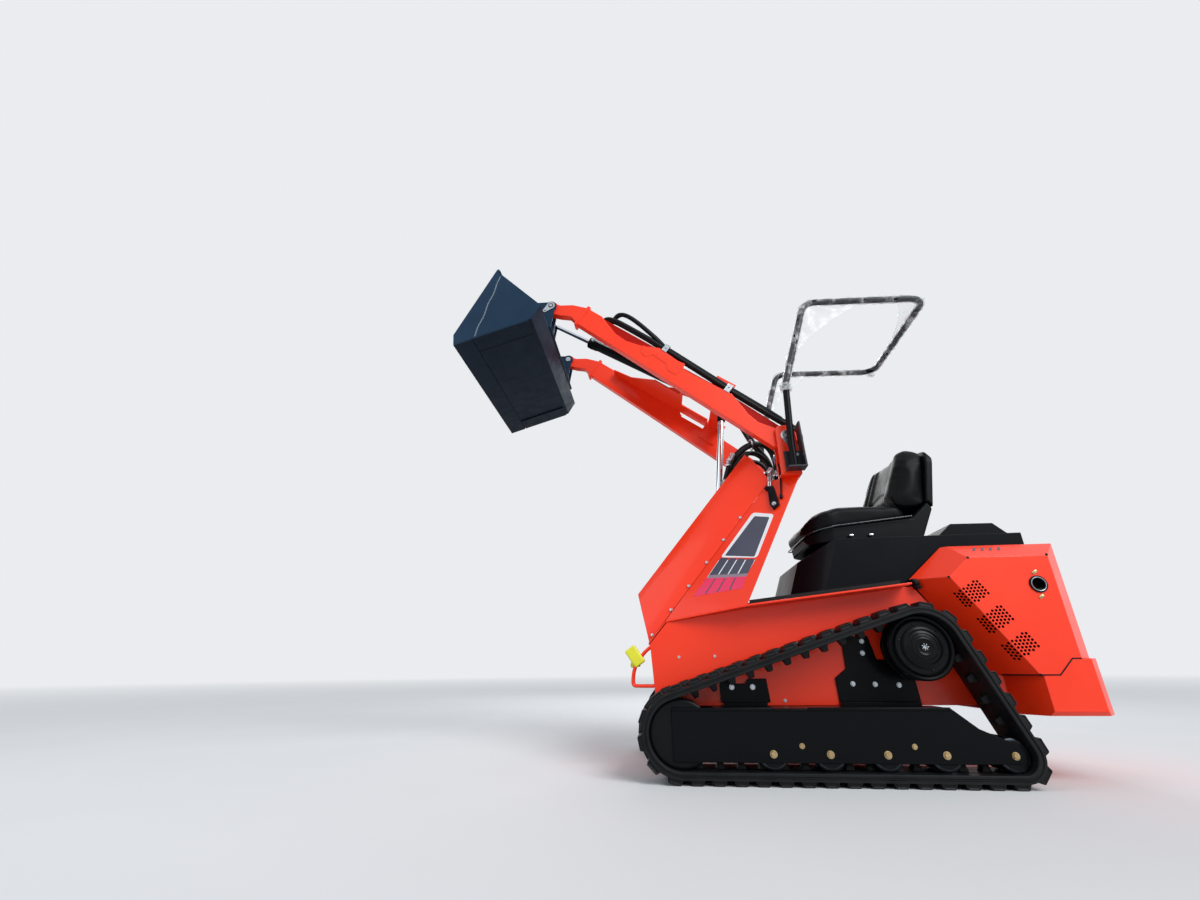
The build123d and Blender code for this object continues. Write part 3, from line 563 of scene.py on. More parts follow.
def tapered(low, high, shrink, round_mm):
    """A moulded block: a box whose far face is smaller by shrink on each side."""
    bm = box(low, high)
    middle = (Vector(low) + Vector(high)) / 2 * MM
    size = (Vector(high) - Vector(low)) * MM
    far = high[2] if abs(high[2]) > abs(low[2]) else low[2]
    for v in bm.verts:
        if abs(v.co.z - far * MM) < 1e-6:
            v.co.x = middle.x + (v.co.x - middle.x) * (1 - 2 * shrink[0] * MM / size.x)
            v.co.y = middle.y + (v.co.y - middle.y) * (1 - 2 * shrink[1] * MM / size.y)
    return round_edges(bm, round_mm)


def track_mesh():
    bm = prism(EDGE, 0, LOOP_LENGTH, "x")
    ends = [f for f in bm.faces if abs(f.normal.x) > 0.9]
    bmesh.ops.delete(bm, geom=ends, context="FACES_ONLY")
    long_edges = [e for e in bm.edges if abs((e.verts[0].co - e.verts[1].co).x) > 1]
    bmesh.ops.subdivide_edges(bm, edges=long_edges, cuts=LINKS * STEPS_PER_LINK - 1)
    near = tapered((0, 6, BELT_T - 1), (LUG_LENGTH, 90, LUG_TOP), (8, 3), 3.0)
    far = tapered((0, -90, BELT_T - 1), (LUG_LENGTH, -6, LUG_TOP), (8, 3), 3.0)
    for part, way in ((near, 1), (far, -1)):
        ends = [f for f in part.faces if f.normal.y * way > 0.9 and f.calc_area() > 1e-4]
        bmesh.ops.inset_individual(part, faces=ends, thickness=4 * MM, depth=-3.5 * MM)
    rib = tapered((0, -20, BELT_T - 1), (22, 20, BELT_T + LUG_H * 0.55), (4, 4), 2.0)
    guide = tapered((0, -20, -GUIDE_H), (32, 20, 1), (7, 5), 3.0)
    blocks = ((near, LUG_START), (far, LUG_START + PITCH_REAL / 2), (rib, RIB_START), (guide, GUIDE_START))
    for link in range(LINKS):
        for part, start in blocks:
            stamp(bm, part, Matrix.Translation(((link * PITCH_REAL + start) * MM, 0, 0)))
    for v in bm.verts:
        x, z = on_loop(v.co.x / MM, v.co.z / MM)
        v.co = Vector((x, v.co.y / MM + TRACK_Y, z)) * MM
    bmesh.ops.remove_doubles(bm, verts=bm.verts, dist=1e-5)
    bmesh.ops.recalc_face_normals(bm, faces=bm.faces)
    return bm


left_track = show("track_left_dressed", track_mesh(), TRACK, "chassis", ["track_left"], 40)
bm = from_mesh(left_track.data)
bmesh.ops.scale(bm, verts=bm.verts, vec=(1, -1, 1))
bmesh.ops.reverse_faces(bm, faces=bm.faces)
show("track_right_dressed", bm, TRACK, "chassis", ["track_right"], 40)
print("track faces:", len(left_track.data.polygons))

# %% [markdown]
# Fasteners. Roller axles and the frame's feet are held by yellow zinc bolts, the hull's plates by
# bright ones. Each table row is a place in mm on the left side and a size, and the right side is
# its mirror image. No two bolts end at the same angle, so each head is turned a little further.

# %% Bolts on the running gear and hull
FRAME_FACE, HULL_FACE, MOUNT_FACE = 475.0, 310.0, 318.0
ROLLER_XS, ROLLER_Z = (-57, -245, -430, -616, -828), 95
GOLD_BOLTS = [(x, FRAME_FACE, ROLLER_Z, 1.2 if x == TAIL[0] else 1.25) for x in ROLLER_XS]
GOLD_BOLTS += [(-155, FRAME_FACE, 120, 0.9), (-520, FRAME_FACE, 120, 0.9)]
MOUNT_SPOTS = ((46, 300, 1.0), (-33, 300, 1.0), (-405, 309, 0.9), (-485, 307, 0.9), (-570, 304, 0.9),
               (-465, 460, 0.9), (-460, 417, 0.9))
HULL_SPOTS = ((241, 410, 0.55), (100, 412, 0.55), (-150, 252, 0.6))
BRIGHT_BOLTS = [(x, MOUNT_FACE, z, size) for x, z, size in MOUNT_SPOTS]
BRIGHT_BOLTS += [(x, HULL_FACE, z, size) for x, z, size in HULL_SPOTS]
SPANNER_TURN = 0.37
for name, rows, metal in (("track_bolts", GOLD_BOLTS, GOLD), ("hull_bolts", BRIGHT_BOLTS, ZINC)):
    places = [facing((x, y, z), LEFT, SPANNER_TURN * i, size) for i, (x, y, z, size) in enumerate(rows)]
    show(name, mirrored(stamped(BOLT, *places)), metal)

# %% [markdown]
# The drive cover is black with fine turned rings, so only its rims draw light. Ring profiles are
# turned about the wheel's axis. The idler and the rollers have a rim where the belt runs, bare on
# the rollers, and the frame's folded top edge is two thin strips that overlap in a step.

# %% Rings, rims and edge strips
SPROCKET_FACE, WHEEL_FACE, STRIP_Y = 474.0, 467.0, 474
COVER_BOLTS, COVER_BOLT_RING, COVER_BOLT_DEPTH, LOCK_TABS = 6, 80, 19, 7
COVER_RINGS = [(8, 2), (12, 4), (15, 4), (15, 1), (26, 1), (28, 3), (31, 1), (44, -3), (46, -1), (49, -3),
               (56, -5), (58, -2), (61, -5), (68, -7)]
COVER_RIM = [(88, -14), (90, -10), (93.5, -12), (94.5, -17), (99, -24), (103, -24), (107, -21), (111, -24),
             (112.4, -30), (99, -30)]
hub = facing((SPROCKET[0], SPROCKET_FACE, SPROCKET[1]))
bm = joined(lathe(COVER_RINGS, 48), lathe(COVER_RIM, 64), at=hub)
for i in range(COVER_BOLTS):
    turn = 2 * pi * i / COVER_BOLTS + 0.3
    across, up_by = COVER_BOLT_RING * cos(turn), COVER_BOLT_RING * sin(turn)
    place = (SPROCKET[0] + across, SPROCKET_FACE - COVER_BOLT_DEPTH, SPROCKET[1] + up_by)
    stamp(bm, BOLT, facing(place, LEFT, turn, 0.55))
show("drive_cover_rings", mirrored(bm), IRON, sharp=50)
bm = joined(lathe([(0, 5), (5, 5), (6, 4), (6, 0)], 16), at=hub)
tab = box((5.5, -1.2, 3), (12, 1.2, 5.5), 0.5)
for i in range(LOCK_TABS):
    stamp(bm, tab, hub @ Matrix.Rotation(2 * pi * i / LOCK_TABS, 4, "Z"))
show("drive_lock_tabs", mirrored(bm), STAINLESS)

roller_rim = lathe([(43, 0), (43, 1), (50, 1), (52.4, -1.5), (52.9, -5), (50, -5)], 48)
idler_rim = lathe([(100, 0), (100, 1.5), (109, 1.5), (112.2, -1), (112.7, -6), (109, -6)], 64)
bm = stamped(roller_rim, *(facing((x, WHEEL_FACE, ROLLER_Z)) for x in ROLLER_XS))
show("roller_rims", mirrored(bm), WORN, sharp=50)
bm = joined(idler_rim, at=facing((IDLER[0], WHEEL_FACE, IDLER[1])))
show("idler_rims", mirrored(bm), IRON, sharp=50)
STRIPS = (
    # rear and front end, underside, width, height, edge round
    (-74, 282, 228, 4.5, 11, 2.0),
    (-660, -190, 228, 4.5, 11, 2.0),
    (-190, -74, 226, 3, 10, 1.4),
)
strips = [box((rear, STRIP_Y, low), (front, STRIP_Y + width, low + high), edge_round)
          for rear, front, low, width, high, edge_round in STRIPS]
show("frame_edge_strips", mirrored(joined(*strips)), FRAME_BLACK, sharp=50)
print("bolts placed:", 2 * (len(GOLD_BOLTS) + len(BRIGHT_BOLTS)))

# %% [markdown]
# The rear hood has three perforated patches on each side that wrap over its fold. On the real
# machine a punch makes the round holes before the sheet is folded, so rows follow the fold. Here
# short round cutters stand on both faces in staggered rows and one boolean cuts them all. The
# cutters are black, and the cut hands that on to the hole walls: painted shade that keeps the
# holes dark.

# %% Perforated rear hood
def leftward(way):
    return way if way.y > 0 else -way


FOLD_TOP, FOLD_LOW, FACET_IN = Vector((-794, 420, 683)), Vector((-1010, 420, 337)), Vector((-710, 330, 688))
FOLD = (FOLD_LOW - FOLD_TOP).normalized()
SIDE_WAY = Vector((FOLD.z, 0, -FOLD.x))
FACET_WAY = (FACET_IN - FOLD_TOP - FOLD * (FACET_IN - FOLD_TOP).dot(FOLD)).normalized()
FACET_OUT = leftward(FOLD.cross(FACET_WAY))
PATCH_STARTS = (60.0, 170.0, 280.0)
HOLE_STEP, HOLE_R, HOLE_DEPTH = 13.0, 4.9, 24.0
FIRST_ROW, ROW_STEP = 8, HOLE_STEP * 0.92
COLUMNS, SIDE_ROWS, FACET_ROWS = 5, 6, 3


def evaluated(made):
    """The mesh that an object's modifiers give."""
    bpy.context.view_layer.update()
    return bpy.data.meshes.new_from_object(made.evaluated_get(bpy.context.evaluated_depsgraph_get()))


def hole_cutters():
    bm, cutter = bmesh.new(), bmesh.new()
    bmesh.ops.create_cone(cutter, cap_ends=True, segments=10, radius1=HOLE_R * MM, radius2=HOLE_R * MM,
                          depth=HOLE_DEPTH * MM)
    for start in PATCH_STARTS:
        for way, out, rows in ((SIDE_WAY, LEFT, SIDE_ROWS), (FACET_WAY, FACET_OUT, FACET_ROWS)):
            for row in range(rows):
                for column in range(COLUMNS):
                    along = start + (column + 0.5 * (row % 2)) * HOLE_STEP
                    spot = FOLD_TOP + FOLD * along + way * (FIRST_ROW + row * ROW_STEP)
                    stamp(bm, cutter, facing(spot, out))
    return mirrored(bm)


hood = bpy.data.objects["rear_hood_dressed"]
tool = placed("cutters", bpy.data.meshes.new("cutters"))
hole_cutters().to_mesh(tool.data)
# The cutters' black goes on to the hole walls as painted shade.
tool.data.materials.append(BLACK)
hood.modifiers.clear()
cut = hood.modifiers.new("holes", "BOOLEAN")
cut.operation, cut.solver, cut.object = "DIFFERENCE", "EXACT", tool
cut.material_mode = "TRANSFER"
hood.data = evaluated(hood)
hood.modifiers.clear()
bpy.data.objects.remove(tool)
hood.modifiers.new("flat faces", "WEIGHTED_NORMAL").keep_sharp = True
print("hood faces:", len(hood.data.polygons))

# %% [markdown]
# The striped decal on the tower is printed vinyl. It is cut here from thin plates that lie in the
# panel's own plane: a white sheet, a slate window, four slate bars and four magenta bars. The
# plane's matrix takes a drawing made in two axes onto the slanted panel.

# %% Decal
PANEL_TOP = Vector((-226, 225, 1165))
PANEL_NOSE, PANEL_FOOT = Vector((292.8, 225, 550)), Vector((-35, 400, 600))
PANEL_S = (PANEL_NOSE - PANEL_TOP).normalized()
PANEL_N = leftward(PANEL_S.cross(PANEL_FOOT - PANEL_TOP).normalized())
PANEL_T = leftward(PANEL_N.cross(PANEL_S))


def plane_at(place, *axes):
    """The matrix of a drawing plane, from its place in mm and its three directions."""
    return Matrix.Translation(place * MM) @ Matrix(axes).transposed().to_4x4()


ON_PANEL = plane_at(PANEL_TOP, PANEL_S, PANEL_T, PANEL_N)


def printed_vinyl(name, tones):
    settings = {"Coat Weight": 0.5, "Coat Roughness": 0.12}
    return finish(name, settings, tones, (100,), (0.28, 0.36), (30,))


SLATE = printed_vinyl("slate printed vinyl", "2d3044 3a3f55")
WHITE = printed_vinyl("white printed vinyl", "e4e6ea f4f5f7")
MAGENTA = printed_vinyl("magenta printed vinyl", "e00c50 f41a5e")
MAUVE = printed_vinyl("faded grey vinyl", "7d6f80 94808f")


def between(a, b, share):
    return (a[0] + (b[0] - a[0]) * share, a[1] + (b[1] - a[1]) * share)


def sheet_cut(outline, high, corner):
    part = prism(outline, 0.0, high, "z")
    posts = [e for e in part.edges if abs((e.verts[0].co - e.verts[1].co).z) > 1e-5]
    bmesh.ops.bevel(part, geom=posts, offset=corner * MM, segments=5, profile=0.5, affect="EDGES",
                    material=-1)
    return part


def bars(top, bottom, gap, high, count=4):
    """Slanted bars between a top line and a bottom line, each line given by its two ends."""
    parts = []
    for i in range(count):
        a = 0 if i == 0 else (i + gap / 2) / count
        b = 1 if i == count - 1 else (i + 1 - gap / 2) / count
        outline = [between(*top, a), between(*top, b), between(*bottom, b), between(*bottom, a)]
        parts.append(prism(outline, 0.0, high, "z"))
    return parts


DECALS = (
    ("decal_white", WHITE, [sheet_cut([(182, 32), (153, 131), (365, 191), (436, 37)], 0.3, 14),
                            *bars(((452, 38), (377, 190)), ((548, 43), (458, 201)), 0.0, 0.3, 1)]),
    ("decal_slate", SLATE, [sheet_cut([(196, 52), (174, 121), (366, 178), (420, 50)], 0.6, 6),
                            *bars(((436, 40), (374, 187)), ((530, 44), (443, 200)), 0.13, 0.6)]),
    ("decal_fade", MAUVE, bars(((528, 44), (441, 200)), ((551, 43), (461, 202)), 0.0, 0.5, 1)),
    ("decal_magenta", MAGENTA, bars(((548, 43), (458, 201)), ((645, 44), (510, 220)), 0.14, 0.7)),
    ("decal_gaps", SLATE, bars(((552, 44), (462, 202)), ((640, 45), (508, 218)), 0.0, 0.4, 1)),
)
for name, vinyl, parts in DECALS:
    show(name, mirrored(joined(*parts, at=ON_PANEL)), vinyl)
print("decal layers:", len(DECALS))

# %% [markdown]
# A row of round-headed screws holds the cowl's edge, one every 130 mm. A rubber draw latch holds
# its nose: a wedge of rubber with a grip, a wire bail and a hooked catch. Next to it a bent rod
# with a ball end keeps the work lamp's lead tidy. Both lie on the panel, so they are drawn in the
# panel's plane as the decal was.

# %% Seam screws, latch and rod
SEAM_S = (232, 361, 489, 620, 748, 880)
SEAM_TOP, SEAM_NOSE, CREASE_TOP = PANEL_TOP, Vector((360, 225, 472)), Vector((-174, 185, 1283))
COWL_OUT = leftward((SEAM_NOSE - SEAM_TOP).cross(CREASE_TOP - SEAM_TOP).normalized())
screw = lathe([(0, 0), (7, 0), (7, 1), (5, 3.2), (2.2, 3.6), (2.0, 2.4), (0, 2.4)], 16)
along, inward = (SEAM_NOSE - SEAM_TOP).normalized(), (CREASE_TOP - SEAM_TOP).normalized() * 8
bm = stamped(screw, *(facing(SEAM_TOP + along * s + inward, COWL_OUT) for s in SEAM_S))
show("cowl_screws", mirrored(bm), ZINC)


def tube(points, radius, steps=10, smooth=True, cyclic=False):
    """A round bar through points in mm: a NURBS line with a bevel, turned into a mesh."""
    curve = bpy.data.curves.new("line", "CURVE")
    curve.dimensions = "3D"
    curve.bevel_depth = radius * MM
    curve.bevel_resolution = 3
    curve.resolution_u = steps
    curve.use_fill_caps = True
    line = curve.splines.new("NURBS" if smooth else "POLY")
    line.points.add(len(points) - 1)
    for point, place in zip(line.points, points):
        point.co = (*(Vector(place) * MM), 1)
    if smooth:
        line.order_u = 3
        line.use_endpoint_u = not cyclic
    line.use_cyclic_u = cyclic
    made = bpy.data.objects.new("line", curve)
    bm = from_mesh(bpy.data.meshes.new_from_object(made))
    bmesh.ops.recalc_face_normals(bm, faces=bm.faces)
    bpy.data.objects.remove(made)
    return bm


handle = prism([(38, 20), (28, 42), (44, 62), (104, 130), (138, 122), (122, 90), (60, 34)], 2, 13, "z")
round_edges(handle, 3.0, 3)
ribs = [prism([(58 + 12 * i, 60 + 11 * i), (62 + 12 * i, 63 + 11 * i), (84 + 10 * i, 62 + 9 * i),
               (80 + 10 * i, 58 + 9 * i)], 12, 15, "z") for i in range(3)]
rod = tube([(-120, -34, 6), (-100, -30, 26), (-78, 4, 22), (-60, 22, 7), (64, 110, 6)], 3.4)
rod_end = tube([(58, 106, 6), (66, 112, 6), (72, 116, 6)], 7.0)
knob = box((40, 14, 0), (60, 32, 16), 3)
show("cowl_latch", joined(handle, knob, *ribs, rod, rod_end, at=ON_PANEL), PLASTIC)
bail = [tube([(-44, -24, 12), (-20, -8, 14), (40, 36, 10)], 2.6),
        tube([(-36, -30, 12), (-12, -14, 14), (48, 30, 10)], 2.6),
        box((-56, -38, -6), (-26, -14, 16), 3), joined(BOLT, at=facing((112, 108, 13), (0, 0, 1)))]
show("latch_bail", joined(*bail, at=ON_PANEL), ZINC)
print("latch placed")

# %% [markdown]
# The seat is foam under grained vinyl on a moulded pan. Foam bulges between its seams, so the pads
# are blown up by the cloth solver: the plain solid is remeshed into even squares, given a little
# inner pressure with no gravity, and stopped early. How far a point may move is capped. The sewn
# channels and the hollow between the side bolsters are pressed in afterwards.

# %% Blow up a pad
VOXEL_MM, PRESSURE, FRAMES, SHRINK = 8.0, 4.0, 20, 0.985


def blown(name, bm, cap_mm):
    middle = sum((v.co for v in bm.verts), Vector()) / len(bm.verts)
    for v in bm.verts:
        v.co = middle + (v.co - middle) * SHRINK
    made = placed(name, bpy.data.meshes.new(name))
    bm.to_mesh(made.data)
    squares = made.modifiers.new("squares", "REMESH")
    squares.mode, squares.voxel_size = "VOXEL", VOXEL_MM * MM
    made.data = evaluated(made)
    made.modifiers.clear()
    swell(made, cap_mm)
    bm = from_mesh(made.data)
    bpy.data.objects.remove(made)
    for _ in range(6):
        bmesh.ops.smooth_vert(bm, verts=bm.verts, factor=0.5, use_axis_x=True, use_axis_y=True,
                              use_axis_z=True)
    bm.normal_update()
    return bm


def swell(made, cap_mm):
    cloth = made.modifiers.new("cloth", "CLOTH")
    cloth.settings.use_pressure = True
    cloth.settings.uniform_pressure_force = PRESSURE
    cloth.settings.effector_weights.gravity = 0.0
    for step in range(1, FRAMES + 1):
        scene.frame_set(step)
    swollen = made.evaluated_get(bpy.context.evaluated_depsgraph_get()).to_mesh()
    moves = [b.co - a.co for a, b in zip(made.data.vertices, swollen.vertices)]
    made.modifiers.clear()
    scene.frame_set(1)
    for v, move in zip(made.data.vertices, moves):
        v.co += move * min(1.0, cap_mm * MM / max(move.length, 1e-9))


def press(bm, way, line, width_mm, depth_mm):
    """Presses a soft groove or hollow into the side that faces one way; line gives a distance in mm."""
    for v in bm.verts:
        share = max(0.0, v.normal.dot(way))
        if share > 0.15:
            near = math.exp(-(line(*(v.co / MM)) / width_mm) ** 2)
            v.co -= way * depth_mm * MM * min(1.0, share * 1.5) * near


def soft_show(name, bm, node):
    made = show(name, bm, VINYL, "chassis", [node], 180)
    finer = made.modifiers.new("finer", "SUBSURF")
    finer.levels = finer.render_levels = 1


def sliced(bm, place, out, drop=False):
    """Cuts the bmesh by a plane through a place in mm, and with drop takes away what lies outside."""
    whole = bm.verts[:] + bm.edges[:] + bm.faces[:]
    bmesh.ops.bisect_plane(bm, geom=whole, plane_co=Vector(place) * MM, plane_no=out, clear_outer=drop)


def trim(bm, cuts):
    for place, out in cuts:
        sliced(bm, place, out, True)
        bmesh.ops.holes_fill(bm, edges=[e for e in bm.edges if e.is_boundary])
    bmesh.ops.recalc_face_normals(bm, faces=bm.faces)
    return bm


def round_cuts(centre, across, ahead, radius, steps=8):
    """Planes that round the corner between two directions, all touching one arc."""
    cuts = []
    for k in range(1, steps):
        angle = k * pi / 2 / steps
        out = Vector(ahead) * cos(angle) + Vector(across) * sin(angle)
        cuts.append((Vector(centre) + out * radius, out))
    return cuts


def corner_cuts(x, y, radius, way):
    """Rounds both corners of one end; way is 1 for the front and -1 for the rear."""
    cuts = []
    for side in (1, -1):
        cuts += round_cuts((x - way * radius, side * (y - radius), 0), (0, side, 0), (way, 0, 0), radius)
    return cuts


# %% Cushion
SEAT_Y, BOLSTER_Y = 240.0, 148.0
FRONT_ROUND, REAR_ROUND = 140.0, 62.0
CHANNELS = (-455, -535, -615, -695)
UPWARD = Vector((0.08, 0, 1)).normalized()
cushion_cuts = corner_cuts(-330, SEAT_Y, FRONT_ROUND, 1) + corner_cuts(-802, SEAT_Y, REAR_ROUND, -1)
bm = blown("cushion_work", trim(merged_copy("seat_cushion"), cushion_cuts), 14.0)
press(bm, UPWARD, lambda x, y, z: max(0.0, abs(y) - 105) * 1.6, 60, 13)
press(bm, UPWARD, lambda x, y, z: abs(y) - BOLSTER_Y, 6, 7)
for seam_x in CHANNELS:
    press(bm, UPWARD, lambda x, y, z: hypot(x - seam_x, max(0.0, abs(y) - BOLSTER_Y)), 6, 6)
soft_show("seat_cushion_pad", bm, "seat_cushion")

# %% Backrest
BACK_OUT, BACK_SPLIT = Vector((-0.977, 0, -0.213)), Vector((-869, 0, 1016)) * MM
BACK_Y, BACK_TOP, BACK_ROUND, BACK_CROWN = 230.0, 1297.0, 96.0, 46.0
BACK_BOLSTER_Y, LUMBAR_Z = 128.0, 1118.0
FORWARD = Vector((0.9, 0, 0.43)).normalized()
arch_cuts = []
for side in (1, -1):
    centre = (0, side * (BACK_Y - BACK_ROUND), BACK_TOP - BACK_ROUND)
    arch_cuts += round_cuts(centre, (0, 0, 1), (0, side, 0), BACK_ROUND)


def crown(bm):
    """Raises the top of the back into an arch, most in the middle."""
    for v in bm.verts:
        share = max(0.0, min(1.0, (v.co.z / MM - 1100) / (BACK_TOP - 1100)))
        v.co.z += BACK_CROWN * MM * share * (1 - (v.co.y / MM / BACK_Y) ** 2)


front_half = [(BACK_SPLIT / MM - BACK_OUT * 3, BACK_OUT)]
bm = blown("backrest_work", trim(merged_copy("seat_back"), arch_cuts + front_half), 16.0)
press(bm, FORWARD, lambda x, y, z: max(0.0, abs(y) - 85) * 1.7, 60, 22)
press(bm, FORWARD, lambda x, y, z: abs(y) - BACK_BOLSTER_Y, 6, 7)
press(bm, FORWARD, lambda x, y, z: hypot(z - LUMBAR_Z + (y / 26) ** 2, max(0.0, abs(y) - BACK_BOLSTER_Y)),
      6, 6)
crown(bm)
soft_show("seat_back_pad", bm, "seat_back")

bm = trim(merged_copy("seat_back"), arch_cuts + [(BACK_SPLIT / MM, -BACK_OUT)])
for y in range(-180, 181, 60):
    sliced(bm, (0, y, 0), LEFT)
crown(bm)
show("seat_back_shell", round_edges(bm, 7, 3, 20), PLASTIC, sharp=40, weighted=True)

PAN_WIDER = 1.12
bm = merged_copy("seat_base")
bmesh.ops.scale(bm, vec=(1, PAN_WIDER, 1), verts=bm.verts)
bm = round_edges(trim(bm, corner_cuts(-356, 224, FRONT_ROUND - 14, 1)), 9, 4, 30)
show("seat_pan", bm, PLASTIC, "chassis", ["seat_base"], 40, True)
print("seat padded")

# %% [markdown]
# A piping cord is sewn all round the cushion where the vinyl meets the pan. It catches a thin
# bright line of light, which is what the eye sees first on a black seat.

# %% Piping
SEAT_EDGE = ((-802, 966), (-436, 931), (-356, 906), (-330, 900))
FRONT_X, REAR_X, ROUND, EDGE_Y = -354.0, -795.0, 134.0, SEAT_Y - 1


def seat_line(x):
    """Height of the cushion's lower edge at a place along the seat."""
    for (x0, z0), (x1, z1) in zip(SEAT_EDGE, SEAT_EDGE[1:]):
        if x <= x1:
            return z0 + (z1 - z0) * (x - x0) / (x1 - x0)


plan = [(x, EDGE_Y) for x in (REAR_X, REAR_X + 120, -560, -440, FRONT_X - ROUND, FRONT_X - ROUND * 0.3)]
plan += [(FRONT_X, EDGE_Y - ROUND * 0.3), (FRONT_X, EDGE_Y - ROUND), (FRONT_X, 0)]
plan += [(x, -y) for x, y in plan[-2::-1]]
PIPING = finish("glossy black piping", {"Specular IOR Level": 0.6}, "1c2024 2e343a",
                (50,), (0.14, 0.26), (20,))
show("seat_piping", tube([(x, y, seat_line(x) + 3) for x, y in plan], 3.6, 12), PIPING, sharp=60)
print("piping sewn")

# %% [markdown]
# The roll hoop still wears its clear packing film. Film is nearly invisible face on and turns
# white where it creases, so its clearness follows a crease noise. It also turns white where the
# eye looks along it, through more of it, and layer weight gives that rim. The sleeve is a tube
# along the hoop pushed in and out by noise, and the webs in the corners are grids stretched between
# two straight tubes with a free edge that curves inward, as film does when it is pulled tight.

# %% Packing film
FILM = finish("clear packing film", {"Specular IOR Level": 0.7}, "dfe6ec ffffff",
              (55, 4), (0.10, 0.30), None, (55, 4), 3.0)
tree, shader = nodes_of(FILM)
white = add_range(tree, cloud(tree, 55, 4), 0.50, 0.72, 0.08, 0.55)
edge_on = add(tree, "LayerWeight", {"Blend": 0.5})
rim = add_range(tree, edge_on.outputs["Facing"], 0.42, 0.85, 0.0, 0.9)
clear = add(tree, "Math", {"operation": "MAXIMUM"}, {0: white, 1: rim})
tree.links.new(clear.outputs["Value"], shader.inputs["Alpha"])

HOOP_Y, HOOP_BEND = 350.0, 75.0
HOOP_SIDE = [(-313, 1290), (-329, 1590), (-477, 2040), (-1045, 2013)]
KNOT_Z, FAR_END_Z = 1572.0, 1650.0
SLEEVE_R, WEB_SAG, HEM_R, COIL_TURNS = 18.5, 9, 1.8, 5


def rounded_path(corners, radius, step=14.0):
    """A polyline with round corners as evenly spaced points, all in mm."""
    places = [Vector(c) for c in corners]
    path = [places[0]]
    for before, corner, after in zip(places, places[1:], places[2:]):
        a, b = (before - corner).normalized(), (after - corner).normalized()
        cut = radius / math.tan(a.angle(b) / 2)
        path += [(corner + a * cut * (1 - k / 6)).lerp(corner + b * cut * k / 6, k / 6) for k in range(7)]
    path.append(places[-1])
    even = [path[0]]
    for a, b in zip(path, path[1:]):
        count = max(1, round((b - a).length / step))
        even += [a.lerp(b, (i + 1) / count) for i in range(count)]
    return even


def crumple(bm, size_mm, depth_mm, seed=0.0):
    bm.normal_update()
    for v in bm.verts:
        v.co += v.normal * noise.noise(v.co / (size_mm * MM) + Vector((seed, 0, 0))) * depth_mm * MM
    return bm


def web(corner, on_post, on_rail, pull, seed):
    """A film web between two tubes that meet at a corner, with a curved free edge."""
    corner, on_post, on_rail = Vector(corner) * MM, Vector(on_post) * MM, Vector(on_rail) * MM
    control = ((on_post + on_rail) / 2).lerp(corner, pull)
    bm = bmesh.new()
    bmesh.ops.create_grid(bm, x_segments=36, y_segments=18, size=0.5)
    edge = []
    for v in bm.verts:
        u, w = v.co.x + 0.5, v.co.y + 0.5
        free = on_post.lerp(control, u).lerp(control.lerp(on_rail, u), u)
        held = on_post.lerp(corner, u * 2) if u < 0.5 else corner.lerp(on_rail, u * 2 - 1)
        v.co = held.lerp(free, w)
        sag = WEB_SAG * MM * sin(pi * w) * sin(pi * u)
        v.co.y += sag * noise.noise(v.co / 0.05 + Vector((seed, 0, 0))) * 2
        if w > 0.999:
            edge.append((u, v.co / MM))
    hem = tube([place for _, place in sorted(edge, key=lambda pair: pair[0])], HEM_R, 2, False)
    bmesh.ops.solidify(bm, geom=bm.faces[:], thickness=0.4 * MM)
    return [bm, hem]


hoop_corners = [(x, HOOP_Y, z) for x, z in HOOP_SIDE] + [(x, -HOOP_Y, z) for x, z in HOOP_SIDE[::-1]]
hoop_path = rounded_path(hoop_corners, HOOP_BEND)
wrapped = [p for p in hoop_path if p.z > (KNOT_Z if p.y > 0 else FAR_END_Z)]
parts = [crumple(tube(wrapped, SLEEVE_R, 2, False), 22, 7)]
WEBS = (
    # corner, end on the first tube, end on the second tube, how far the free edge is pulled in
    ((-477, 350, 2040), (-384, 350, 1740), (-770, 350, 2022), 0.30),
    ((-477, -350, 2040), (-372, -350, 1700), (-690, -350, 2028), 0.45),
    ((-1045, 350, 2013), (-905, 350, 2016), (-1045, -300, 2013), 0.62),
)
for i, shape in enumerate(WEBS):
    parts += web(*shape, 7.0 * i)
KNOTS = (((-327, HOOP_Y, 1572), (0.05, 0, 1)), ((-1030, -HOOP_Y, 2012), (1, 0.2, 0)))
for place, way in KNOTS:
    for turn in range(COIL_TURNS):
        wide, lift = 23 + turn % 2 * 4, turn * 7 - 14
        ring = [(cos(a * pi / 6) * wide, sin(a * pi / 6) * 22, lift) for a in range(12)]
        coil = crumple(tube(ring, 4.5, 4, True, True), 9, 6, turn * 3.1)
        parts.append(joined(coil, at=facing(place, way, turn * 0.9)))
show("hoop_film", joined(*parts), FILM, sharp=80)
print("film wrapped, path points:", len(hoop_path))

# %% [markdown]
# Hydraulic hoses gather over the cowl's head. Each hose is a NURBS line with a round bevel, and
# a hose end is a crimped ferrule with a six-sided nut. The two hoses that feed the tilt cylinder
# cross from the tower to the boom, so their rubber is left free of any body and only their
# ferrules, at the boom end, ride on the boom.

# %% Hose ends and the hose bundle
def ferrule(radius):
    """A crimped sleeve with rings and a hex nut behind it, standing on z = 0."""
    rings = [(0, 0), (radius * 0.8, 0), (radius * 0.8, 12)]
    for i in range(4):
        rings += [(radius + 2.4, 14 + i * 7), (radius + 2.4, 18 + i * 7), (radius + 1.2, 20 + i * 7)]
    nut = bmesh.new()
    width = (radius + 4) * MM
    bmesh.ops.create_cone(nut, cap_ends=True, segments=6, radius1=width, radius2=width, depth=12 * MM,
                          matrix=Matrix.Translation((0, 0, 6 * MM)))
    return joined(lathe(rings + [(0, 42)], 20), round_edges(nut, 0.8, 1))


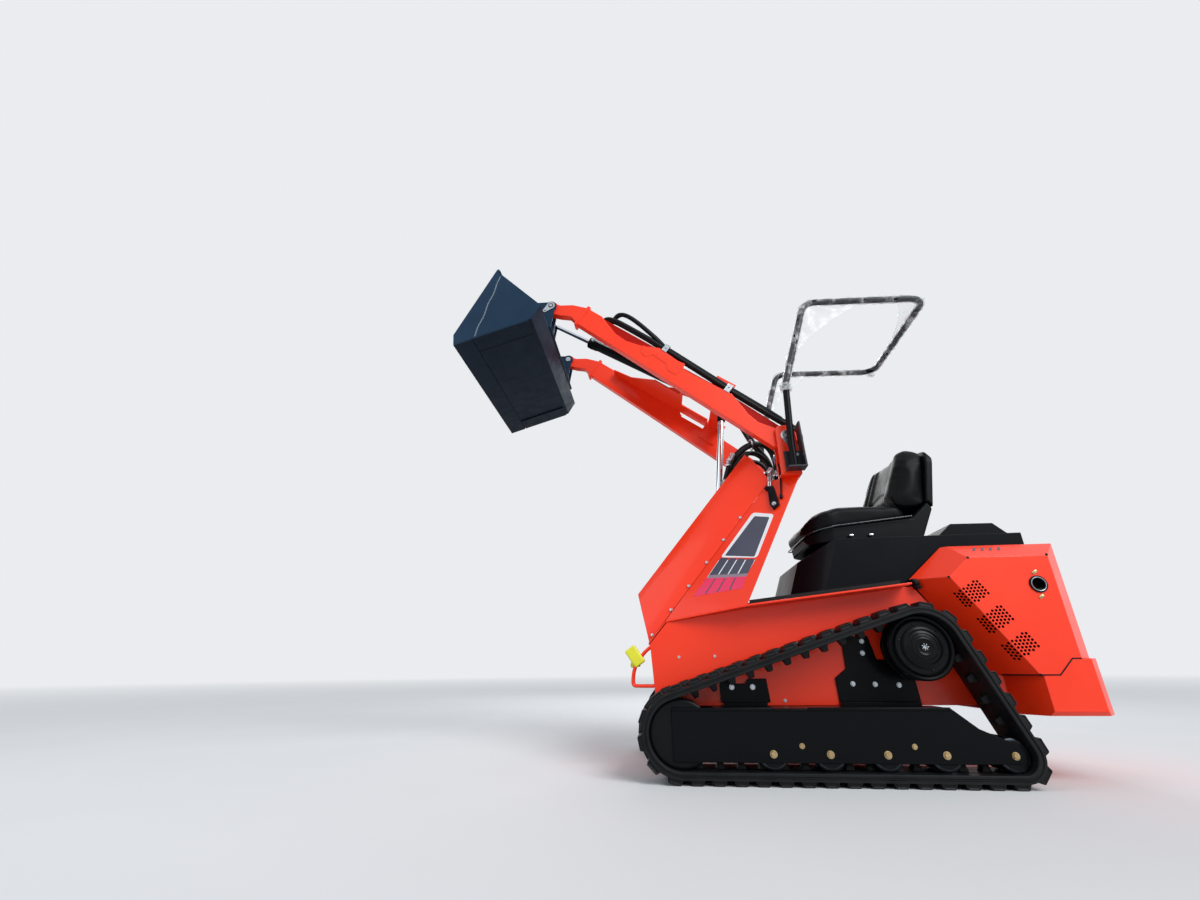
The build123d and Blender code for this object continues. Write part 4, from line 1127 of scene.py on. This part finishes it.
def lay_hoses(lines, both_ends=False):
    """Rubber hoses and their steel ends, as two bmeshes, from rows of points and a radius."""
    rubber, steel = bmesh.new(), bmesh.new()
    for points, radius in lines:
        points = [Vector(point) for point in points]
        stamp(rubber, tube(points, radius, 12))
        if both_ends:
            stamp(steel, ferrule(radius), facing(points[0], points[1] - points[0]))
        stamp(steel, ferrule(radius), facing(points[-1], points[-2] - points[-1]))
    return rubber, steel


BUNDLE = (
    # points from the valve block over the cowl's head to the front, hose radius
    ([(-300, 62, 1224), (-300, 62, 1330), (-262, 58, 1415), (-180, 48, 1425), (-100, 36, 1360),
      (-62, 32, 1290), (-40, 28, 1200)], 12),
    ([(-310, 92, 1224), (-312, 96, 1300), (-270, 104, 1390), (-190, 96, 1400), (-130, 62, 1370),
      (-84, 34, 1320), (-64, 6, 1230)], 11),
    ([(-300, -60, 1224), (-300, -60, 1320), (-250, -50, 1400), (-170, -34, 1410), (-110, -22, 1340),
      (-80, -20, 1240)], 12),
    ([(-292, 24, 1224), (-292, 26, 1290), (-240, 40, 1368), (-176, 62, 1372), (-150, 70, 1334),
      (-118, 60, 1320), (-96, 38, 1300), (-92, 30, 1230)], 10),
    ([(-300, -92, 1224), (-304, -100, 1300), (-262, -110, 1378), (-190, -90, 1380), (-120, -40, 1320),
      (-100, -34, 1220)], 11),
)
TIE = [(-196, 20, 1398), (-188, 20, 1432), (-184, 110, 1426), (-190, 118, 1388), (-198, 60, 1384)]
rubber, steel = lay_hoses(BUNDLE, True)
show("tower_hoses", rubber, HOSE, sharp=60)
stamp(steel, tube(TIE, 3.2, 6, True, True))
stamp(steel, ferrule(10), facing((-72, 36, 1312), (-0.2, 0.1, 1)))
stamp(steel, ferrule(10), facing((-78, 64, 1330), (-0.6, 0.2, 1)))
show("tower_hose_ends", steel, ZINC, sharp=40)

FEED = [(-296, 15, 1224), (-290, 15, 1320), (-240, 16, 1400), (-208, 20, 1452), (-188, 34, 1510),
        (-170, 48, 1566), (-144, 54, 1610), (-102, 54, 1647)]
rubber, steel = lay_hoses([([(x, side * y, z) for x, y, z in FEED], 10) for side in (-1, 1)])
made = show("feed_hoses", rubber, HOSE, None, sharp=60)
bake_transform(made)
show("feed_hose_ends", steel, ZINC, "boom", sharp=40)
print("hoses gathered")

# %% [markdown]
# Each work lamp gets a clear lens with a bezel and three small reflectors behind it, and each hoop
# bracket gets its bolts. The lens is glossy and throws back the sky, and its blue tones, dark to
# light in soft patches, are a painted reflection of a blue sky.

# %% Work lamp lenses and bracket bolts
glassy = {"Roughness": 0.05, "Specular IOR Level": 0.8, "Coat Weight": 0.6}
# The blue tones of the lens are a painted reflection of a blue sky.
LENS = finish("clear lamp lens", glassy, "2b3f78 8fa6e0", (30,), bump_cloud=(4, 1),
              depth_mm=0.3)
dome = lathe([(0, 0), (11, 0), (10, 3), (6, 5), (0, 6)], 24)
domes = stamped(dome, *(facing((-276, 141 + 26.5 * i, 1294.5), (1, 0, 0)) for i in range(3)))
show("work_lamp_lenses", mirrored(joined(box((-281, 126, 1274), (-275, 209, 1315), 2.5), domes)), LENS)
fins = [box((-326, 124 + 11 * i, 1272), (-320, 129 + 11 * i, 1317), 1.0) for i in range(8)]
lead = tube([(-322, 200, 1280), (-340, 205, 1262), (-338, 215, 1225), (-335, 200, 1185)], 4.5, 8)
show("work_lamp_fins", mirrored(joined(*fins, lead)), PLASTIC)

BRACKET_Y = 317.0
places = [facing((x, BRACKET_Y, z), LEFT, 0.4, size) for x, z, size in ((-304, 1190, 0.9), (-340, 1250, 0.7))]
places += [facing((-359, 345, z), (-1, 0, 0.05), 0.2, 0.9) for z in (1215, 1330)]
bm = stamped(BOLT, *places)
show("bracket_bolts", mirrored(bm), ZINC)
print("lamps and brackets done")

# %% [markdown]
# Five hoses run along the left arm. They come up through the tower's shelf, wrap round the arm's
# heel inside the pivot ears, pass under two clamps and dive inside the arm in front. The upper pair
# stands up in a free arch, as rubber does when it is a little too long. The rubber is left free of
# any body, and its front ends and clamp bolts ride on the boom. Woven nylon
# sleeves hold each run together, and a sleeve looks duller and a little rougher than the rubber.

# %% Hoses along the arm
BOOM_PIVOT, BOOM_RISE = (-308.0, 1347.0), radians(36.8)


def on_boom(u, v, y):
    """A point along the boom and above its axis, in mm."""
    c, s = cos(BOOM_RISE), sin(BOOM_RISE)
    return (BOOM_PIVOT[0] + u * c - v * s, y, BOOM_PIVOT[1] + u * s + v * c)


TAIL_UV = ((-62, 0), (-50, 44), (-4, 66))
RUN_UV = ((60, 66), (318, 78), (540, 95), (759, 111))
LOW_END = ((860, 120, 0), (990, 122, 0), (1085, 121, 0), (1128, 104, -24), (1120, 62, -46), (1080, 40, -48))
HIGH_END = ((845, 152, 0), (940, 174, 0), (1020, 184, 0), (1072, 172, -4), (1084, 130, -22), (1072, 84, -36),
            (1050, 50, -38))
ARM_HOSES = [(y, 0.0, LOW_END) for y in (256.5, 270.0, 283.5)] + [(y, 13.0, HIGH_END) for y in (263.0, 277.0)]


def arm_hose(y, lift, end):
    points = [(-338 - lift * 0.6, y, 1170), (-350 - lift * 0.6, y, 1240)]
    points += [on_boom(u * (1 + lift / 62), v * (1 + lift / 66), y) for u, v in TAIL_UV]
    points += [on_boom(u, v + lift, y) for u, v in RUN_UV]
    return points + [on_boom(u, v, y + dy) for u, v, dy in end]


rubber, steel = lay_hoses([(arm_hose(*row), 6.5) for row in ARM_HOSES])
made = show("arm_hoses", rubber, HOSE, None, ["boom_hoses"], 60)
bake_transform(made)
for u, v in ((349, 88), (730, 114)):
    stamp(steel, BOLT, facing(on_boom(u, v, 294), LEFT, 0.3, 0.8))
show("arm_hose_ends", steel, ZINC, "boom", sharp=40)

SLEEVE = finish("woven nylon sleeve", {"Specular IOR Level": 0.12}, "0a0c0f 171a1f",
                (20,), (0.5, 0.7), (10,), (3, 1), 0.3)
SLEEVES = (
    # radius, places along the boom, above it and across
    (18.5, ((64, 72.5, 270), (180, 80.5, 270), (332, 85.5, 270))),
    (18.5, ((366, 88.5, 270), (540, 101.5, 270), (712, 113.5, 270))),
    (16.0, ((752, 112, 270), (800, 116, 270), (860, 120, 270), (990, 122, 270), (1070, 121, 270),
            (1112, 106, 254))),
    (12.0, ((756, 126, 270), (800, 141, 270), (845, 152, 270), (940, 174, 270), (1020, 184, 270),
            (1070, 172, 266), (1082, 130, 248))),
)
sleeves = [tube([on_boom(*place) for place in line], radius, 12) for radius, line in SLEEVES]
show("arm_hose_sleeves", joined(*sleeves), SLEEVE, "boom", sharp=60)
print("arm hoses laid:", len(ARM_HOSES), "sleeves:", len(sleeves))

# %% [markdown]
# Cylinder fittings. A welded cylinder has a wider gland with spanner slots where the rod comes out,
# a wiper ring, a steel pipe that brings oil from the rear port, and a port boss at both ends of
# that pipe. The lift rod ends in a black welded collar under the boom.

# %% Cylinder fittings
def along_cylinder(base, tip):
    """Z along the cylinder from its base eye to its tip, X level across."""
    way = Vector((tip[0] - base[0], 0, tip[1] - base[1])).normalized()
    side = Vector(LEFT)
    return plane_at(Vector((base[0], 0, base[1])), side, way.cross(side), way)


def gland(reach, radius, rod):
    """A ring nut with eight spanner slots and a wiper lip."""
    bore, wide = rod + 0.6, radius + 5
    bm = lathe([(bore, reach - 30), (wide, reach - 30), (wide, reach - 4), (radius + 2, reach),
                (rod + 5, reach), (rod + 4, reach + 3), (bore, reach + 3), (bore, reach - 30)], 48)
    key = box((radius + 3.5, -3, reach - 26), (radius + 6.5, 3, reach - 8), 0.8)
    for i in range(8):
        stamp(bm, key, Matrix.Rotation(i * pi / 4, 4, "Z"))
    return bm


def pipe_run(low, high, radius, side):
    """Ports at both ends of a barrel, joined by a steel pipe that lies along it on one side."""
    out = side * (radius + 12)
    line = [(0, out, reach) for reach in (low, low + 20, (low + high) / 2, high - 20, high)]
    port = lathe([(0, 0), (11, 0), (11, 14), (8, 17), (0, 17)], 24)
    ports = [facing((0, side * (radius - 3), reach), (0, side, 0)) for reach in (low, high)]
    return joined(tube(line, 5.5, 8), stamped(port, *ports))


TILT_FOOT = on_boom(560, 116, 0)
TILT_TURN = along_cylinder((TILT_FOOT[0], TILT_FOOT[2]), (865.0, 2284.0))
LIFT_FOOT, LIFT_TIP = (76.0, 420.0), (-72.0, 1645.0)
LIFT_TURN = along_cylinder(LIFT_FOOT, LIFT_TIP)
LIFT_SPAN = hypot(LIFT_TIP[0] - LIFT_FOOT[0], LIFT_TIP[1] - LIFT_FOOT[1])
OUTWARD = TILT_TURN @ Matrix.Rotation(radians(-80), 4, "Z")
COLLAR = [(16.5, LIFT_SPAN - 68), (21, LIFT_SPAN - 66), (21, LIFT_SPAN - 26), (16.5, LIFT_SPAN - 22)]
FITTINGS = (
    ("tilt_gland", gland(674, 27.5, 12), TILT_TURN, BLACK, "tilt_barrel"),
    ("lift_gland", gland(660, 35.0, 16), LIFT_TURN, BLACK, "lift_barrel"),
    ("tilt_pipe", pipe_run(70, 652, 27.5, 1), OUTWARD, ZINC, "tilt_barrel"),
    ("lift_pipe", pipe_run(80, 600, 35.0, -1), LIFT_TURN, ZINC, "lift_barrel"),
    ("lift_rod_collar", lathe(COLLAR, 40), LIFT_TURN, BLACK, "lift_rod"),
)
for name, part, turn, material, body in FITTINGS:
    show(name, joined(part, at=turn), material, body, sharp=40)
print("cylinders fitted")

# %% [markdown]
# Each big pin is held by a teardrop keeper: a bright plate round the pin's slotted head and a
# small bolt in its tail. Black discs under the head and under the bolt are painted shade of the
# recess round the pin and of the hole at the tail. The dark ring and the bolt head are what reads
# from afar.

# %% Pin keepers
PIN_FACES = (("pivot", (-308, 314, 1347), (-316, 314, 1302), 1.0, "chassis"),
             ("bucket", (811.4, 311, 2184.4), (843, 311, 2155), 0.9, "bucket"))
slotted = lathe([(0, 0), (10.5, 0), (10.5, 2.4), (9.5, 3.4), (0, 3.4)], 40)
head = joined(slotted, box((-9, -1.4, 3.0), (9, 1.4, 3.8)))
for name, centre, tail, size, body in PIN_FACES:
    pin, foot = facing(centre, LEFT, 0, size), facing(tail, LEFT, 0, size)
    # Black discs under the head and the tail bolt: painted shade of the recess and of the hole.
    dark = joined(joined(disc(15, 1.2, 40), at=pin), joined(disc(6, 1.0, 24), at=foot))
    bright = joined(head, at=facing(centre, LEFT, 0.6, size))
    stamp(bright, BOLT, facing(tail, LEFT, 0.2, 0.42))
    show(name + "_keeper_shade_discs", mirrored(dark), BLACK, body, sharp=40)
    show(name + "_keeper_head", mirrored(bright), ZINC, body, sharp=40)
print("keepers placed")

# %% [markdown]
# Bucket details. Flat bar doubles the cutting edge and both side edges of the floor, a lip bar
# stiffens the top, and a hand-laid weld runs down each side where the side plate was let in. A
# weld bead is a row of small overlapping ripples that wanders a little, as a hand does, so it is a
# chain of squashed rings along a line that two slow waves push aside.

# %% Bucket plates and welds
WELD = finish("scuffed weld bead", {"Metallic": 0.3, "Specular IOR Level": 0.4},
              "44515e 8b98a5", (12, 5), (0.35, 0.6), (6,))
BUCKET_Y, STRIP_WIDTH = 525, 110
EDGE_PLATE = [(1150, 1857.3), (1240, 1830), (1238.3, 1824), (1148.5, 1851.5)]
LIP_BAR = [(1052, 2262), (1040, 2250), (1031.5, 2258.5), (1044, 2270.5)]
FLOOR_STRIP = [(872, 1941.4), (1146, 1858.2), (1144.6, 1853.4), (870.6, 1936.6)]
FLOOR_STEP_EDGE = [(873, 1936.5), (1000, 1898), (1145, 1854)]
plates = [prism(outline, -BUCKET_Y, BUCKET_Y) for outline in (EDGE_PLATE, LIP_BAR)]
plates += [prism(FLOOR_STRIP, low, low + STRIP_WIDTH) for low in (-BUCKET_Y, BUCKET_Y - STRIP_WIDTH)]
show("bucket_plates", round_edges(joined(*plates), 1.2), BUCKET, "bucket", weighted=True)


def weld_bead(start, end, normal, width=7.0, step=5.0):
    start, end = Vector(start), Vector(end)
    bm = bmesh.new()
    ripple = lathe([(0, 0), (width * 0.5, 0), (width * 0.42, 1.2), (width * 0.2, 2.0), (0, 2.1)], 12)
    count = int((end - start).length / step)
    side = (end - start).normalized().cross(Vector(normal)) * 1.6
    for i in range(count + 1):
        wander = side * (sin(i * 1.7) * cos(i * 0.37) + 1.6 * sin(i * 0.23))
        stamp(bm, ripple, facing(start.lerp(end, i / count) + wander, normal))
    return bm


bm = mirrored(weld_bead((1029, BUCKET_Y, 2217), (1136, BUCKET_Y, 1870), LEFT))
show("bucket_welds", bm, WELD, "bucket", sharp=60)
# A black line along each doubler's inner edge is painted shade of the step there.
step_shade_lines = [tube([(x, y, z) for x, z in FLOOR_STEP_EDGE], 2.4, 2) for y in (-413, 413)]
show("bucket_floor_step_shade", joined(*step_shade_lines), BLACK, "bucket", sharp=60)
print("bucket dressed")

# %% [markdown]
# Rear hood details. The bend of folded sheet leaves a small relief hole at each corner, drawn as a
# black disc that is painted shade of the hole, and the joint with the bumper shows as a black line
# of rubber strip. A red lip closes the step over the bumper. The exhaust has a bright inner pipe
# and two brass screws. The top slope keeps a plain pattern of slanted bars.

# %% Rear hood trim
SIDE_Y = 420.0
DOTS = [(-877, SIDE_Y, 752), (-1157, SIDE_Y, 755), (-791, SIDE_Y, 681), (-1010, SIDE_Y, 337)]
SEAM = [(-929, 331, 337), (-1010, 420, 337), (-1074, 420, 337), (-1129, 420, 390), (-1159, 420, 390)]
LIP = [(-1159, 419), (-1189, 419), (-1244, 359), (-1244, 330), (-1233, 318), (-1150, 409)]
# Each relief hole is a black disc: painted shade of the hole.
relief_hole_shade = lathe([(0, 0), (5.0, 0), (4.4, 1.2), (0, 1.2)], 20)
bm = joined(tube(SEAM, 2.4, 1, False), stamped(relief_hole_shade, *(facing(dot, (0, 1, 0.1)) for dot in DOTS)))
show("hood_seams_and_hole_shade", mirrored(bm), BLACK, sharp=40)
show("bumper_lips", mirrored(prism(LIP, 386, 389, "z")), RED)

pipe_wall = lathe([(23, -30), (26, -30), (26, 1.5), (24.6, 2.4), (23, 1.5), (23, -30)], 48)
show("exhaust_pipe", joined(pipe_wall, at=facing((-1095, 424, 647))), STAINLESS, sharp=40)
clip = joined(box((-10, -5, 0), (10, 5, 2.5), 1.0), hex_bolt(4.5, 3.0))
bm = stamped(clip, *(facing((x, SIDE_Y, z), LEFT, 0.5) for x, z in ((-1095, 691), (-1093, 602))))
show("exhaust_clips", bm, GOLD, sharp=40)

SLOPE_AT, SLOPE_S = Vector((-877, 420, 753)), Vector((-1, 0, 0))
SLOPE_T = Vector((0, -90, 62)).normalized()
ON_SLOPE = plane_at(SLOPE_AT, SLOPE_S, SLOPE_T, SLOPE_S.cross(SLOPE_T))
slanted = [prism([(low, 58), (low + 10, 58), (low + 26, 84), (low + 16, 84)], 0.0, 0.5, "z")
           for low in (50, 80, 110, 140)]
bm = joined(*slanted, at=ON_SLOPE)
bmesh.ops.recalc_face_normals(bm, faces=bm.faces)
show("hood_bars", mirrored(bm), SLATE)

wedge = prism([(-690, 688), (-706, 690), (-722, 652), (-704, 650)], 300, 342)
block = joined(wedge, box((-716, 322, 664), (-696, 345, 682), 3))
show("deck_end_blocks", mirrored(round_edges(block, 1.5)), PLASTIC)
print("hood trimmed")

# %% [markdown]
# Controls. Four spools stick out of the valve block's top. Each lever is a bright rod with a black
# pear-shaped knob, and a rubber bellows keeps dirt out where it enters the block. The bellows is
# one zigzag profile turned on a lathe.

# %% Control levers
LEVER_YS = (-80.0, -27.0, 27.0, 80.0)
LEVER_FOOT, LEVER_TOP = Vector((-328, 0, 1224)), Vector((-388, 0, 1342))
LEVER_WAY = (LEVER_TOP - LEVER_FOOT).normalized()
folds = [(0, 0), (21, 0)]
for i in range(5):
    folds += [(20 - 2.6 * i, 3 + 6 * i), (14.5 - 1.8 * i, 6 + 6 * i)]
bellows = lathe(folds + [(6.5, 33), (0, 33)], 28)
knob = lathe([(0, 0), (7, 0), (8, 8), (13, 20), (15.5, 30), (14, 38), (9, 43), (0, 45)], 28)
rod = tube([LEVER_FOOT, LEVER_FOOT.lerp(LEVER_TOP, 0.5), LEVER_TOP], 5.5, 4, False)
sides = [Vector((0, y, 0)) for y in LEVER_YS]
rods = stamped(rod, *(Matrix.Translation(side * MM) for side in sides))
show("lever_rods", rods, ZINC, "chassis", ["control_levers"], 40)
boots = stamped(bellows, *(facing(LEVER_FOOT + side, LEVER_WAY) for side in sides))
show("lever_boots", boots, HOSE, sharp=40)
knobs = stamped(knob, *(facing(LEVER_TOP + side - LEVER_WAY * 12, LEVER_WAY) for side in sides))
show("lever_knobs", knobs, PLASTIC, sharp=50)

SHELF_OUT = (-0.25, 0, 1)
meter = lathe([(0, 0), (26, 0), (26, 8), (22, 10), (21, 7), (0, 7)], 40)
key_ring = joined(lathe([(0, 0), (17, 0), (17, 6), (11, 9), (0, 9)], 32), box((-2, -7, 8), (2, 7, 24), 1))
gauges = joined(joined(meter, at=facing((-308, -170, 1168), SHELF_OUT)),
                joined(key_ring, at=facing((-308, 170, 1168), SHELF_OUT)))
show("shelf_gauges", gauges, PLASTIC, sharp=40)
plug_places = [facing((x, -90 + 60 * i, 1224), (0, 0, 1), 0.3 * i) for i in range(4) for x in (-290, -276)]
show("valve_plugs", stamped(hex_bolt(6.5, 6), *plug_places), ZINC, sharp=40)
print("controls placed")

# %% [markdown]
# Small parts round the machine: a bent-tube guard with two legs round the front lamp, cross ribs
# that make the deck mat safe to stand on, and the seat's two slide levers.

# %% Lamp guard, mat ribs and seat levers
GUARD = [(345, 304), (408, 304), (428, 306), (429, 330), (424, 362), (412, 388), (395, 410), (376, 434),
         (350, 452)]
legs = [tube([(x, y, z) for x, z in GUARD], 6.0, 10) for y in (305, 240)]
show("lamp_guard_tubes", joined(*legs), RED, "chassis", ["lamp_guard"], 60)
show("lamp_neck", joined(box((398, 262, 376), (424, 308, 392), 3), hex_bolt(7, 5)), PLASTIC)

MAT_FRONT, MAT_REAR = (-35.0, 600.0), (-664.0, 668.0)
MAT_SLOPE = (MAT_REAR[1] - MAT_FRONT[1]) / (MAT_REAR[0] - MAT_FRONT[0])
MAT_T, RIB_Y, RIBS, FIRST_RIB, RIB_STEP = 14, 286, 14, -70, 11.5
ribs = []
for i in range(RIBS):
    x = FIRST_RIB - RIB_STEP * i
    z = MAT_FRONT[1] + MAT_SLOPE * (x - MAT_FRONT[0]) + MAT_T
    ribs.append(prism([(x, z - 1), (x - 5, z - 0.4), (x - 4, z + 2.6), (x - 1, z + 2.3)], -RIB_Y, RIB_Y))
show("mat_ribs", joined(*ribs), TRACK)

slides = []
for x in (-531, -613):
    slides.append(tube([(x, 190, 884), (x, 214, 884), (x, 232, 890), (x, 238, 897)], 3.2, 6))
    slides.append(box((x - 9, 226, 889), (x + 9, 242, 897), 2))
show("seat_slide_levers", joined(*slides), ZINC, sharp=40)
print("small parts placed")
